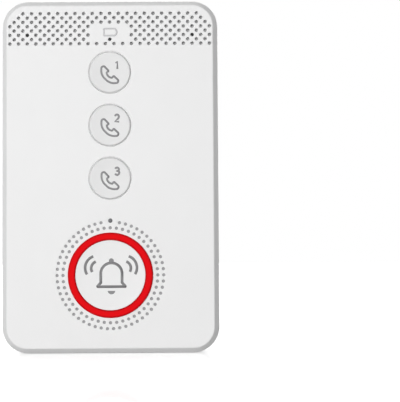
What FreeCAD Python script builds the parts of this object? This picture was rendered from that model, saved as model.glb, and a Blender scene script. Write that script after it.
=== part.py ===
"""Medical alert base station: an upright white casing with three call keys and one lit alarm key.

Millimetres. X runs to the right seen from the front, the front looks along -Y and Z is up.
The origin is on the flat underside, in the middle of the width and of the depth.
"""

import FreeCAD, Part
import math
import os

Vector = FreeCAD.Vector

# Casing
WIDTH = 92.0
HEIGHT = 150.0
DEPTH = 22.0
CORNER_R = 11.0
WALL = 2.0
FRONT_BEVEL = 2.1
BACK_EDGE_CHAMFER = 1.5
PARTING_CHAMFER = 0.25
LIP_INSET = 1.05
LIP_WALL = 0.85
LIP_HEIGHT = 1.2
LIP_GAP = 0.1
LIP_ROOT = 0.6
LIP_END_GAP = 1.0

# Levels through the depth, front to back
FRONT_Y = -DEPTH / 2
BACK_Y = DEPTH / 2
FRONT_WALL_Y = FRONT_Y + WALL
BACK_WALL_Y = BACK_Y - WALL
PARTING_Y = 3.0
BOARD_Y = -3.4
BOARD_T = 1.6
BOARD_BACK_Y = BOARD_Y + BOARD_T
SEAT_GAP = 0.05
ROOT = 0.2
OVERCUT = 1.0
FACE_OVERCUT = 0.1
SMALL_SIDES = 6
HEAD_SIDES = 8
ROUND_SIDES = 12

# Sound holes: a lattice of rows, each second row half a pitch across
HOLE_PITCH = 3.7
ROW_PITCH = HOLE_PITCH / 2
HOLE_HALF_DIAGONAL = 0.78
TOP_ROW_Z = 144.5
HOLES_IN_ROW = (21, 22, 23, 24, 23, 24, 23, 24)
GAP_ROWS = (3, 4, 5, 6)
GAP_HALF_WIDTH = 9.0
MIC_ROW = 5
MIC_X = 9.5 * HOLE_PITCH
MIC_HOLE_R = 0.75
MIC_Z = TOP_ROW_Z - MIC_ROW * ROW_PITCH
BATTERY_LIGHT_Z = TOP_ROW_Z - 6 * ROW_PITCH
BATTERY_LIGHT_R = 0.7

# Call keys
CALL_Z = (119.2, 96.6, 74.0)
CALL_R = 8.95
CALL_GAP = 0.4
CALL_CROWN = 0.35
CALL_BEVEL = 0.5
CALL_SKIN = 1.3
CALL_FLANGE_HALF = 9.9
CALL_FLANGE_T = 0.8
CALL_POCKET_HALF = 6.0
GUIDE_GAP = 0.25
GUIDE_WALL = 1.0
GUIDE_DEPTH = 2.2
PLUNGER_R = 2.1

# Alarm key and its lit ring
ALARM_Z = 32.9
ALARM_R = 14.6
ALARM_RIM = 0.3
ALARM_DISH = 0.4
ALARM_DISH_SLOPE = 0.8
ALARM_SKIN = 1.6
ALARM_LUG_REACH = 16.2
ALARM_LUG_HALF = 3.0
ALARM_LUG_T = 0.85
ALARM_POCKET_R = 11.0
ALARM_PLUNGER_R = 2.6
RING_INNER_R = 14.85
RING_OUTER_R = 17.95
RING_CREST = (15.55, 17.25)
RING_PROUD = 0.8
RING_SHOULDER = 0.1
RING_LUG_REACH = 18.8
RING_LUG_HALF = 3.5
RING_SEAT_GAP = 0.12
RING_BACK_Y = -8.15

# Light dots round the alarm key
INNER_DOTS = 48
INNER_DOTS_R = 20.05
OUTER_DOTS = 54
OUTER_DOTS_R = 22.55
DOT_HALF_DIAGONAL = 0.72
DOT_DEPTH = 1.4
DIFFUSER_INNER_R = 19.5
DIFFUSER_OUTER_R = 23.8
DIFFUSER_T = 0.8
DIFFUSER_SIDES = 24
DIFFUSER_NOTCH_HALF = 1.2
DIFFUSER_NOTCH_LENGTH = 5.0
ALARM_LIGHT_R = 0.9
ALARM_LIGHT_Z = ALARM_Z + 23.1
PIPE_GAP = 0.05
PIPE_RECESS = 0.15
PIPE_END_GAP = 0.1

# Push switches on the board
SWITCH_SIZE = 6.0
SWITCH_HEIGHT = 3.2
STEM_R = 1.6
STEM_WELL_R = 1.8
STEM_TOP_Y = -7.4
STEM_BOTTOM_Y = -5.6
STEM_WELL_DEPTH = 2.2

# Board
BOARD_HALF_WIDTH = 42.0
BOARD_LOW_Z = 6.0
BOARD_HIGH_Z = 124.0
BOARD_TAB_HALF_WIDTH = 4.5
BOARD_TAB_Z = 137.0
BOARD_POST_X = 30.0
BOARD_POST_Z = (10.5, 111.0)
BOARD_POST_R = 2.8
BOARD_SCREW_R = 0.9
BOARD_SCREW_HEAD_R = 2.0
BOARD_SCREW_HEAD_T = 1.2
BOARD_SCREW_LENGTH = 5.8
BOARD_PILOT_R = 1.0
BOARD_PILOT_DEPTH = 4.6
BOARD_SCREW_HOLE_R = 1.2
LED_HALF_WIDTH = 1.0
LED_HALF_HEIGHT = 0.6
LED_HEIGHT = 0.8
RING_LEDS = 8
RING_LEDS_R = 15.6
HALO_LEDS = 12
HALO_LEDS_R = 21.3

# Case screws
BOSS_X = 38.5
BOSS_Z = (8.5, 126.0)
BOSS_R = 3.3
BOSS_NOTCH = 3.8
BOSS_END_GAP = 0.1
BOSS_RIB_T = 1.2
BOSS_RIB_END_GAP = 3.0
CASE_PILOT_R = 1.1
CASE_PILOT_DEPTH = 9.0
CASE_SCREW_R = 1.0
CASE_SCREW_LENGTH = 11.0
CASE_SCREW_HEAD_R = 2.4
CASE_SCREW_HEAD_T = 1.6
CASE_HOLE_R = 1.35
CASE_COUNTERBORE_R = 2.8
CASE_POST_R = 4.1
CASE_SEAT_Y = 6.5

# Keyholes for hanging on two wall screws
KEYHOLE_X = 27.0
KEYHOLE_Z = 106.0
KEYHOLE_R = 4.0
KEYHOLE_SLOT_R = 1.9
KEYHOLE_SLOT_LENGTH = 8.0

# Service cover over the card socket
COVER_WIDTH = 36.0
COVER_HEIGHT = 26.0
COVER_R = 3.0
COVER_T = 1.2
COVER_GAP = 0.12
COVER_Z = 33.0
COVER_LEDGE = 2.6
COVER_TOP_LEDGE = 6.2
COVER_SCREW_Z = COVER_Z + COVER_HEIGHT / 2 - 3.2
COVER_SCREW_HEAD_R = 1.8
COVER_SCREW_HEAD_T = 0.6
COVER_SCREW_SINK = 0.7
COVER_SCREW_LENGTH = 3.4
COVER_PILLAR_R = 2.4
COVER_PILLAR_HEIGHT = 3.0
COVER_PILOT_DEPTH = 2.6
COVER_TAB_X = 8.0
COVER_TAB_HALF_WIDTH = 2.5
COVER_HOOK_GAP = 0.1
COVER_HOOK_T = 0.8
COVER_HOOK_REACH = 1.2
COVER_ARM_Z = (0.2, 1.4)

# Speakers behind the sound holes
SPEAKER_X = 18.5
SPEAKER_Z = 138.1
SPEAKER_WIDTH = 26.0
SPEAKER_HEIGHT = 13.4
SPEAKER_RIM = 1.4
SPEAKER_DEPTH = 3.6
SPEAKER_SIDE_T = 1.2
SPEAKER_BACK_T = 0.8
COIL_WINDOW = (4.5, 2.8)
CONE_SINK = 0.6
CONE_T = 0.4
DOME_HALF = (5.5, 2.6)
DOME_RISE = 0.4
FORMER_HALF = (4.0, 2.2)
FORMER_LENGTH = 2.2
FORMER_T = 0.4
CLOTH_GAP = 0.02
CLOTH_T = 0.3
CLOTH_HALF_WIDTH = 43.4
CLOTH_LOW_Z = 130.4
CLOTH_HIGH_Z = 145.6
CLOTH_CORNER = 4.2
CLOTH_LIGHT_HOLE_R = 1.6
CLOTH_BOOT_GAP = 0.15
GASKET_T = 0.5
MAGNET_WIDTH = 12.0
MAGNET_HEIGHT = 8.0
MAGNET_T = 2.4
MAGNET_EDGE = 0.6
SPEAKER_LEAD_HALF_WIDTH = 1.5
BOOT_HALF = 3.0
BOOT_DEPTH = 3.4
BOOT_FLOOR = 1.4
MIC_HALF_WIDTH = 1.9
MIC_HALF_HEIGHT = 1.5
MIC_DEPTH = 1.2

# Battery
BATTERY_WIDTH = 34.0
BATTERY_HEIGHT = 50.0
BATTERY_T = 5.2
BATTERY_Z = 78.0
BATTERY_EDGE = 1.0
BATTERY_PAD_T = 0.4
BATTERY_PAD_MARGIN = (3.0, 4.0)
BATTERY_LEAD_HALF_WIDTH = 2.0
BATTERY_LEAD_RISE = 10.0
BATTERY_CONNECTOR = (7.0, 5.0, 2.6)
STRIP_T = 0.3

# Components on the back of the board: x0, x1, z0, z1, height
CELLULAR_MODULE = (-26.0, -5.0, 94.0, 118.0, 2.4)
CELLULAR_CAN_EDGE = 0.4
RADIO_PLATE = (8.0, 25.0, 78.0, 92.0, 0.8)
RADIO_CHIP = (13.0, 19.0, 82.0, 88.0, 1.8)
PROCESSOR = (-28.0, -18.0, 56.0, 66.0, 1.2)
SIM_HALF_WIDTH = 9.0
SIM_BELOW = 9.0
SIM_ABOVE = 5.0
SIM_T = 1.6
SIM_WALL = 1.5
SIM_SLOT_Y = (0.3, 1.1)
SIM_END_WALL = 2.0
SIM_WINDOW_HALF = 5.0
SIM_WINDOW_LENGTH = 5.0

# Antenna inside the rear moulding
ANTENNA_HALF_WIDTH = 32.0
ANTENNA_LOW_Z = 129.0
ANTENNA_HIGH_Z = 144.0
ANTENNA_NOTCHES = 5
ANTENNA_NOTCH_WIDTH = 3.0
ANTENNA_NOTCH_Z = 133.0

# Left side: charging socket and power switch
SIDE_X = -WIDTH / 2
USB_Z = 27.0
USB_WIDTH = 9.0
USB_T = 3.2
USB_WALL = 0.35
USB_MOUTH_X = SIDE_X + 0.5
USB_BACK_X = USB_MOUTH_X + 7.4
USB_BACK_WALL = 1.2
USB_Y = BOARD_BACK_Y + USB_T / 2
SOCKET_CLEARANCE = 0.5
TONGUE_SINK = 0.8
TONGUE_HALF_T = 0.35
TONGUE_HALF_WIDTH = 3.3
POWER_Z = 47.0
POWER_TRAVEL = 2.0
POWER_KNOB_HALF_Z = 0.9
POWER_KNOB_HALF_T = 0.8
POWER_FOOT_HALF_Z = 1.8
POWER_KNOB_SINK = 0.1
POWER_FOOT_X = (SIDE_X + WALL + 0.5, SIDE_X + WALL + 2.4)
POWER_SLOT_GAP_Z = 0.3
POWER_SLOT_GAP_Y = 0.25
POWER_DISH_DEPTH = 0.6
POWER_DISH_MARGIN_Y = 0.9
POWER_DISH_MARGIN_Z = 1.3
POWER_BODY_GAP = 0.2
POWER_BODY_DEPTH = 4.4
POWER_BODY_T = 3.0
POWER_BODY_HALF_Z = 4.2
POWER_POCKET_DEPTH = 2.4
POWER_POCKET_HALF_T = 1.0
POWER_POCKET_GAP = 0.1
POWER_Y = BOARD_BACK_Y + 1.5
POWER_MIDDLE_Z = POWER_Z + POWER_TRAVEL / 2


def box(x0, x1, y0, y1, z0, z1):
    """Box between two values on each axis."""
    return Part.makeBox(x1 - x0, y1 - y0, z1 - z0, Vector(x0, y0, z0))


def rod(radius, y0, y1, x, z):
    """Cylinder along Y from y0 to y1."""
    return Part.makeCylinder(radius, y1 - y0, Vector(x, y0, z), Vector(0, 1, 0))


def prism(sides, radius, y0, y1, x, z, turn=0.0):
    """Regular prism along Y; radius reaches its corners and turn is in radians."""
    angles = [turn + 2 * math.pi * k / sides for k in range(sides)]
    corners = [Vector(x + radius * math.sin(a), y0, z + radius * math.cos(a)) for a in angles]
    return Part.Face(Part.makePolygon(corners + corners[:1])).extrude(Vector(0, y1 - y0, 0))


def rounded_slab(width, height, radius, y0, y1, x=0.0, z=0.0):
    """Slab along Y whose outline is a rectangle with round corners, centred on x and z."""
    w = width / 2 - radius
    h = height / 2 - radius
    edges = []
    for side_x, side_z, start in ((1, 1, 0), (-1, 1, 90), (-1, -1, 180), (1, -1, 270)):
        centre = Vector(x + side_x * w, y0, z + side_z * h)
        arc = [
            centre + Vector(radius * math.cos(math.radians(a)), 0, radius * math.sin(math.radians(a)))
            for a in (start, start + 45, start + 90)
        ]
        if edges:
            edges.append(Part.LineSegment(last, arc[0]).toShape())
        else:
            first = arc[0]
        edges.append(Part.Arc(*arc).toShape())
        last = arc[2]
    edges.append(Part.LineSegment(last, first).toShape())
    return Part.Face(Part.Wire(edges)).extrude(Vector(0, y1 - y0, 0))


def casing_slab(inset, y0, y1):
    """Slab with the casing's outline, drawn in by an inset."""
    return rounded_slab(
        WIDTH - 2 * inset, HEIGHT - 2 * inset, CORNER_R - inset, y0, y1, 0.0, HEIGHT / 2
    )


def turned(profile, x, z):
    """Solid turned about the Y axis through x, z, from a closed list of (radius, y) corners."""
    corners = [Vector(x + radius, y, z) for radius, y in profile]
    face = Part.Face(Part.makePolygon(corners + corners[:1]))
    return face.revolve(Vector(x, 0, z), Vector(0, 1, 0), 360)


def pit(half_diagonal, depth, x, z, turn):
    """Four-sided pointed dimple in the face, one corner turned outwards by an angle in radians."""
    reach = half_diagonal * (depth + OVERCUT) / depth
    angles = [turn + math.pi / 2 * k for k in range(4)]
    rim = [Vector(x + reach * math.sin(a), FRONT_Y - OVERCUT, z + reach * math.cos(a)) for a in angles]
    tip = Vector(x, FRONT_Y + depth, z)
    rim.append(rim[0])
    sides = [Part.Face(Part.makePolygon([a, b, tip, a])) for a, b in zip(rim, rim[1:])]
    return Part.Solid(Part.Shell(sides + [Part.Face(Part.makePolygon(rim))]))


def edges_at(shape, y):
    """Edges that lie wholly in the plane at y."""
    return [
        edge for edge in shape.Edges
        if abs(edge.BoundBox.YMin - y) < 1e-4 and abs(edge.BoundBox.YMax - y) < 1e-4
    ]


def side_stadium(length_z, height_y, x0, x1, y, z):
    """Slab along X with half-round ends in Z, the form of the charging socket."""
    r = height_y / 2
    reach = length_z / 2 - r
    bar = box(x0, x1, y - r, y + r, z - reach, z + reach)
    ends = [Part.makeCylinder(r, x1 - x0, Vector(x0, y, z + s * reach), Vector(1, 0, 0)) for s in (-1, 1)]
    return join(bar, *ends)


def bent_strip(profile, x0, x1):
    """Flat flexible lead: a (y, z) centre line with a thickness along Y, extruded along X."""
    front = [Vector(x0, y - STRIP_T / 2, z) for y, z in profile]
    back = [Vector(x0, y + STRIP_T / 2, z) for y, z in reversed(profile)]
    return Part.Face(Part.makePolygon(front + back + front[:1])).extrude(Vector(x1 - x0, 0, 0))


def join(*shapes):
    """One solid from pieces that touch."""
    return shapes[0].fuse(list(shapes[1:])).removeSplitter()


def group(solids):
    """Separate solids kept in one node."""
    return Part.makeCompound(solids)


def sound_hole_places():
    """Places (x, z) of the sound holes, without the two microphone holes."""
    places = []
    for row, count in enumerate(HOLES_IN_ROW):
        z = TOP_ROW_Z - row * ROW_PITCH
        for k in range(count):
            x = (k - (count - 1) / 2) * HOLE_PITCH
            in_gap = row in GAP_ROWS and abs(x) < GAP_HALF_WIDTH
            is_mic = row == MIC_ROW and abs(abs(x) - MIC_X) < HOLE_PITCH / 4
            if not in_gap and not is_mic:
                places.append((x, z))
    return places


def dot_places():
    """Places (x, z, angle) of the light dots; the outer ring is open at twelve o'clock."""
    inner = [(INNER_DOTS_R, 2 * math.pi * k / INNER_DOTS) for k in range(INNER_DOTS)]
    outer = [(OUTER_DOTS_R, 2 * math.pi * (k + 0.5) / OUTER_DOTS) for k in range(1, OUTER_DOTS - 1)]
    return [(r * math.sin(a), ALARM_Z + r * math.cos(a), a) for r, a in inner + outer]


def boss_places():
    """Places (x, z) of the case screws."""
    return [(s * BOSS_X, z) for s in (-1, 1) for z in BOSS_Z]


def post_places():
    """Places (x, z) of the board screws."""
    return [(s * BOARD_POST_X, z) for s in (-1, 1) for z in BOARD_POST_Z]


def key_guides():
    """Ladder of ribs behind the face that keeps the square flanges of the call keys straight."""
    reach = CALL_FLANGE_HALF + GUIDE_GAP
    y0 = FRONT_WALL_Y - ROOT
    y1 = FRONT_WALL_Y + GUIDE_DEPTH
    top = CALL_Z[0] + reach
    bottom = CALL_Z[-1] - reach
    bars = [(bottom - GUIDE_WALL, bottom), (top, top + GUIDE_WALL)]
    bars += [(low + reach, high - reach) for high, low in zip(CALL_Z, CALL_Z[1:])]
    outer = reach + GUIDE_WALL
    ribs = [box(-outer, outer, y0, y1, z0, z1) for z0, z1 in bars]
    for x0 in (-outer, reach):
        ribs.append(box(x0, x0 + GUIDE_WALL, y0, y1, bottom - GUIDE_WALL, top + GUIDE_WALL))
    return ribs


def lip_bars(grow, y0, y1):
    """Bars along the four straight stretches of the parting edge; grown all round they cut the rebates."""
    outside = LIP_INSET - grow
    inside = LIP_INSET + LIP_WALL + grow
    end = CORNER_R + LIP_END_GAP - grow
    bars = []
    for s in (-1, 1):
        x0, x1 = sorted((s * (WIDTH / 2 - outside), s * (WIDTH / 2 - inside)))
        bars.append(box(x0, x1, y0, y1, end, HEIGHT - end))
    for z0, z1 in ((outside, inside), (HEIGHT - inside, HEIGHT - outside)):
        bars.append(box(end - WIDTH / 2, WIDTH / 2 - end, y0, y1, z0, z1))
    return bars


def case_bosses():
    """Screw bosses of the front moulding, each tied to the side wall by a rib."""
    bosses = []
    for x, z in boss_places():
        y0 = FRONT_WALL_Y - ROOT
        bosses.append(prism(ROUND_SIDES, BOSS_R, y0, PARTING_Y - BOSS_END_GAP, x, z))
        x0, x1 = sorted((x, math.copysign(WIDTH / 2 - WALL + ROOT, x)))
        rib_z = z - BOSS_RIB_T / 2
        bosses.append(box(x0, x1, y0, PARTING_Y - BOSS_RIB_END_GAP, rib_z, rib_z + BOSS_RIB_T))
    return bosses


def side_openings():
    """Openings in the left wall: the charging socket's mouth and the power knob's slot and finger dish."""
    through = SIDE_X + WALL + OVERCUT
    mouth = side_stadium(
        USB_WIDTH + SOCKET_CLEARANCE, USB_T + SOCKET_CLEARANCE, SIDE_X - OVERCUT, through, USB_Y, USB_Z
    )
    half_z = POWER_TRAVEL / 2 + POWER_KNOB_HALF_Z + POWER_SLOT_GAP_Z
    half_y = POWER_KNOB_HALF_T + POWER_SLOT_GAP_Y
    slot = box(
        SIDE_X - OVERCUT, through, POWER_Y - half_y, POWER_Y + half_y,
        POWER_MIDDLE_Z - half_z, POWER_MIDDLE_Z + half_z,
    )
    half_y += POWER_DISH_MARGIN_Y
    half_z += POWER_DISH_MARGIN_Z
    dish = box(
        SIDE_X - OVERCUT, SIDE_X + POWER_DISH_DEPTH, POWER_Y - half_y, POWER_Y + half_y,
        POWER_MIDDLE_Z - half_z, POWER_MIDDLE_Z + half_z,
    )
    return [mouth, slot, dish]


def front_shell():
    """Front moulding: face, bevelled rim, key holes, sound holes, light dots, guides, bosses and lip."""
    outer = casing_slab(0, FRONT_Y, PARTING_Y)
    outer = outer.makeChamfer(FRONT_BEVEL, edges_at(outer, FRONT_Y))
    shell = outer.cut(casing_slab(WALL, FRONT_WALL_Y, PARTING_Y + OVERCUT))

    lip = lip_bars(0.0, PARTING_Y - LIP_ROOT, PARTING_Y + LIP_HEIGHT)
    posts = [
        prism(HEAD_SIDES, BOARD_POST_R, FRONT_WALL_Y - ROOT, BOARD_Y, x, z, math.pi / HEAD_SIDES)
        for x, z in post_places()
    ]
    shell = shell.fuse(lip + key_guides() + case_bosses() + posts).removeSplitter()

    before = FRONT_Y - OVERCUT
    behind = FRONT_WALL_Y + FACE_OVERCUT
    cuts = [rod(CALL_R + CALL_GAP, before, behind, 0, z) for z in CALL_Z]
    cuts.append(rod(RING_OUTER_R + RING_SEAT_GAP, before, behind, 0, ALARM_Z))
    cuts += [prism(4, HOLE_HALF_DIAGONAL, before, behind, x, z) for x, z in sound_hole_places()]
    cuts += [pit(DOT_HALF_DIAGONAL, DOT_DEPTH, x, z, a) for x, z, a in dot_places()]
    cuts += [prism(ROUND_SIDES, MIC_HOLE_R, before, behind, s * MIC_X, MIC_Z) for s in (-1, 1)]
    cuts.append(prism(ROUND_SIDES, BATTERY_LIGHT_R + PIPE_GAP, before, behind, 0, BATTERY_LIGHT_Z))
    cuts.append(prism(ROUND_SIDES, ALARM_LIGHT_R + PIPE_GAP, before, behind, 0, ALARM_LIGHT_Z))
    y0 = PARTING_Y - CASE_PILOT_DEPTH
    cuts += [prism(SMALL_SIDES, CASE_PILOT_R, y0, PARTING_Y + OVERCUT, x, z) for x, z in boss_places()]
    y0 = BOARD_Y - BOARD_PILOT_DEPTH
    cuts += [prism(SMALL_SIDES, BOARD_PILOT_R, y0, BOARD_Y + OVERCUT, x, z) for x, z in post_places()]
    return shell.cut(cuts + side_openings())


def keyhole(x):
    """Tool for one keyhole: a round entry with a narrow slot rising from it."""
    y0 = BACK_WALL_Y - OVERCUT
    y1 = BACK_Y + OVERCUT
    top = KEYHOLE_Z + KEYHOLE_SLOT_LENGTH
    entry = rod(KEYHOLE_R, y0, y1, x, KEYHOLE_Z)
    slot = box(x - KEYHOLE_SLOT_R, x + KEYHOLE_SLOT_R, y0, y1, KEYHOLE_Z, top)
    end = rod(KEYHOLE_SLOT_R, y0, y1, x, top)
    return join(entry, slot, end)


def cover_opening():
    """Tool for the opening behind the service cover, with a deeper ledge at its top for the screw."""
    half = COVER_WIDTH / 2 - COVER_LEDGE
    low = COVER_Z - COVER_HEIGHT / 2 + COVER_LEDGE
    high = COVER_Z + COVER_HEIGHT / 2 - COVER_TOP_LEDGE
    return box(-half, half, PARTING_Y, BACK_Y, low, high)


def rear_shell():
    """Rear moulding: screw posts, lip rebate, keyholes and the recess for the service cover."""
    outer = casing_slab(0, PARTING_Y, BACK_Y)
    outer = outer.makeChamfer(BACK_EDGE_CHAMFER, edges_at(outer, BACK_Y))
    outer = outer.makeChamfer(PARTING_CHAMFER, edges_at(outer, PARTING_Y))
    cavity = casing_slab(WALL, PARTING_Y - OVERCUT, BACK_WALL_Y)
    rebates = lip_bars(LIP_GAP, PARTING_Y - OVERCUT, PARTING_Y + LIP_HEIGHT + LIP_GAP)
    shell = outer.cut([cavity] + rebates)

    posts = [prism(ROUND_SIDES, CASE_POST_R, PARTING_Y, BACK_WALL_Y + ROOT, x, z) for x, z in boss_places()]
    pillar_y = BACK_WALL_Y - COVER_PILLAR_HEIGHT
    pillar = prism(HEAD_SIDES, COVER_PILLAR_R, pillar_y, BACK_WALL_Y + ROOT, 0, COVER_SCREW_Z)
    shell = shell.fuse(posts + [pillar]).removeSplitter()

    cuts = []
    for x, z in boss_places():
        cuts.append(prism(SMALL_SIDES, CASE_HOLE_R, PARTING_Y - OVERCUT, BACK_Y, x, z))
        cuts.append(prism(ROUND_SIDES, CASE_COUNTERBORE_R, CASE_SEAT_Y, BACK_Y + OVERCUT, x, z))
    cuts += [keyhole(s * KEYHOLE_X) for s in (-1, 1)]
    cuts.append(
        rounded_slab(COVER_WIDTH, COVER_HEIGHT, COVER_R, BACK_Y - COVER_T, BACK_Y + OVERCUT, 0, COVER_Z)
    )
    cuts.append(cover_opening())
    pilot_y = BACK_WALL_Y - COVER_PILOT_DEPTH
    cuts.append(prism(SMALL_SIDES, BOARD_PILOT_R, pilot_y, BACK_Y, 0, COVER_SCREW_Z))
    return shell.cut(cuts)


def service_cover():
    """Flush cover over the card socket: two hooked tabs below, a sunk screw seat above."""
    inside_y = BACK_Y - COVER_T
    plate = rounded_slab(
        COVER_WIDTH - 2 * COVER_GAP, COVER_HEIGHT - 2 * COVER_GAP, COVER_R - COVER_GAP,
        inside_y, BACK_Y, 0, COVER_Z,
    )
    ledge_z = COVER_Z - COVER_HEIGHT / 2 + COVER_LEDGE
    arm_low, arm_high = (ledge_z + rise for rise in COVER_ARM_Z)
    hook_back = BACK_WALL_Y - COVER_HOOK_GAP
    hook_front = hook_back - COVER_HOOK_T
    tabs = []
    for s in (-1, 1):
        x0 = s * COVER_TAB_X - COVER_TAB_HALF_WIDTH
        x1 = s * COVER_TAB_X + COVER_TAB_HALF_WIDTH
        tabs.append(box(x0, x1, hook_front, inside_y + ROOT, arm_low, arm_high))
        tabs.append(box(x0, x1, hook_front, hook_back, ledge_z - COVER_HOOK_REACH, arm_high))
    cover = join(plate, *tabs)
    hole = prism(SMALL_SIDES, BOARD_SCREW_HOLE_R, inside_y - OVERCUT, BACK_Y, 0, COVER_SCREW_Z)
    seat_r = COVER_SCREW_HEAD_R + FACE_OVERCUT
    seat = prism(ROUND_SIDES, seat_r, BACK_Y - COVER_SCREW_SINK, BACK_Y + OVERCUT, 0, COVER_SCREW_Z)
    return cover.cut([hole, seat])


def call_button(z):
    """Call key: a crowned round cap on a square stop flange, with a plunger in its hollow back."""
    flange_front = FRONT_WALL_Y + SEAT_GAP
    flange_back = flange_front + CALL_FLANGE_T
    cap = turned(
        [
            (0.0, FRONT_Y - CALL_CROWN),
            (CALL_R - CALL_BEVEL, FRONT_Y - CALL_CROWN),
            (CALL_R, FRONT_Y - CALL_CROWN + CALL_BEVEL),
            (CALL_R, flange_back),
            (0.0, flange_back),
        ],
        0, z,
    )
    half = CALL_FLANGE_HALF
    flange = box(-half, half, flange_front, flange_back, z - half, z + half)
    key = join(cap, flange)
    inside_y = FRONT_Y + CALL_SKIN
    p = CALL_POCKET_HALF
    key = key.cut(box(-p, p, inside_y, flange_back + OVERCUT, z - p, z + p))
    return join(key, prism(SMALL_SIDES, PLUNGER_R, inside_y - ROOT, STEM_TOP_Y, 0, z))


def alarm_button():
    """Alarm key: a wide, slightly dished disc that slides in the lit ring, held by four lugs."""
    rim_y = FRONT_Y - ALARM_RIM
    lug_front = RING_BACK_Y + SEAT_GAP
    lug_back = lug_front + ALARM_LUG_T
    cap = turned(
        [
            (0.0, rim_y + ALARM_DISH),
            (ALARM_R - ALARM_DISH_SLOPE, rim_y + ALARM_DISH),
            (ALARM_R, rim_y),
            (ALARM_R, lug_back),
            (0.0, lug_back),
        ],
        0, ALARM_Z,
    )
    inside_y = FRONT_Y + ALARM_SKIN
    cap = cap.cut(prism(DIFFUSER_SIDES, ALARM_POCKET_R, inside_y, lug_back + OVERCUT, 0, ALARM_Z))
    reach = ALARM_LUG_REACH
    half = ALARM_LUG_HALF
    lugs = []
    for s in (-1, 1):
        x0, x1 = sorted((s * (ALARM_POCKET_R + ALARM_R) / 2, s * reach))
        lugs.append(box(x0, x1, lug_front, lug_back, ALARM_Z - half, ALARM_Z + half))
        lugs.append(box(-half, half, lug_front, lug_back, ALARM_Z + x0, ALARM_Z + x1))
    plunger = prism(SMALL_SIDES, ALARM_PLUNGER_R, inside_y - ROOT, STEM_TOP_Y, 0, ALARM_Z)
    return join(cap, plunger, *lugs)


def alarm_ring():
    """Lit ring round the alarm key: a rounded band in front and four seating lugs behind the face."""
    top_y = FRONT_Y - RING_PROUD
    shoulder_y = FRONT_Y - RING_SHOULDER
    band = turned(
        [
            (RING_INNER_R, shoulder_y),
            (RING_CREST[0], top_y),
            (RING_CREST[1], top_y),
            (RING_OUTER_R, shoulder_y),
            (RING_OUTER_R, RING_BACK_Y),
            (RING_INNER_R, RING_BACK_Y),
        ],
        0, ALARM_Z,
    )
    reach = RING_LUG_REACH
    half = RING_LUG_HALF
    y0 = FRONT_WALL_Y + SEAT_GAP
    inside = (RING_INNER_R + RING_OUTER_R) / 2
    lugs = []
    for s in (-1, 1):
        x0, x1 = sorted((s * inside, s * reach))
        lugs.append(box(x0, x1, y0, RING_BACK_Y, ALARM_Z - half, ALARM_Z + half))
        lugs.append(box(-half, half, y0, RING_BACK_Y, ALARM_Z + x0, ALARM_Z + x1))
    return join(band, *lugs)


def halo_diffuser():
    """Pale annular plate behind the two rings of light dots, notched for the twelve o'clock light."""
    y0 = FRONT_WALL_Y + SEAT_GAP
    y1 = y0 + DIFFUSER_T
    plate = prism(DIFFUSER_SIDES, DIFFUSER_OUTER_R, y0, y1, 0, ALARM_Z)
    bore = prism(DIFFUSER_SIDES, DIFFUSER_INNER_R, y0 - OVERCUT, y1 + OVERCUT, 0, ALARM_Z)
    half = DIFFUSER_NOTCH_HALF
    notch_z = ALARM_LIGHT_Z - half
    notch = box(-half, half, y0 - OVERCUT, y1 + OVERCUT, notch_z, notch_z + DIFFUSER_NOTCH_LENGTH)
    return plate.cut([bore, notch])


def light_pipe(radius, z):
    """Clear rod that carries an indicator's light from the board to the face."""
    return prism(ROUND_SIDES, radius, FRONT_Y + PIPE_RECESS, BOARD_Y - LED_HEIGHT - PIPE_END_GAP, 0, z)


def cloth_front():
    """Level of the cloth's front face."""
    return FRONT_WALL_Y + CLOTH_GAP


def grille_cloth():
    """Thin dust cloth behind the sound holes, cut out round the microphones and the light."""
    y0 = cloth_front()
    y1 = y0 + CLOTH_T
    outline = [
        (-CLOTH_HALF_WIDTH, CLOTH_LOW_Z),
        (CLOTH_HALF_WIDTH, CLOTH_LOW_Z),
        (CLOTH_HALF_WIDTH, CLOTH_HIGH_Z - CLOTH_CORNER),
        (CLOTH_HALF_WIDTH - CLOTH_CORNER, CLOTH_HIGH_Z),
        (CLOTH_CORNER - CLOTH_HALF_WIDTH, CLOTH_HIGH_Z),
        (-CLOTH_HALF_WIDTH, CLOTH_HIGH_Z - CLOTH_CORNER),
    ]
    corners = [Vector(x, y0, z) for x, z in outline]
    cloth = Part.Face(Part.makePolygon(corners + corners[:1])).extrude(Vector(0, CLOTH_T, 0))
    y0 -= OVERCUT
    y1 += OVERCUT
    half = BOOT_HALF + CLOTH_BOOT_GAP
    cuts = [box(s * MIC_X - half, s * MIC_X + half, y0, y1, MIC_Z - half, MIC_Z + half) for s in (-1, 1)]
    cuts.append(prism(SMALL_SIDES, CLOTH_LIGHT_HOLE_R, y0, y1, 0, BATTERY_LIGHT_Z))
    return cloth.cut(cuts)


def speaker_block(inset, y0, y1, x):
    """Box with a speaker's outline, drawn in by an inset."""
    w = SPEAKER_WIDTH / 2 - inset
    h = SPEAKER_HEIGHT / 2 - inset
    return box(x - w, x + w, y0, y1, SPEAKER_Z - h, SPEAKER_Z + h)


def speaker_gasket(x):
    """Foam frame between the cloth and a speaker."""
    y0 = cloth_front() + CLOTH_T
    y1 = y0 + GASKET_T
    return speaker_block(0, y0, y1, x).cut(speaker_block(SPEAKER_RIM, y0 - OVERCUT, y1 + OVERCUT, x))


def middle_block(half, y0, y1, x):
    """Box about a speaker's middle, from its half sizes along X and Z."""
    w, h = half
    return box(x - w, x + w, y0, y1, SPEAKER_Z - h, SPEAKER_Z + h)


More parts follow.
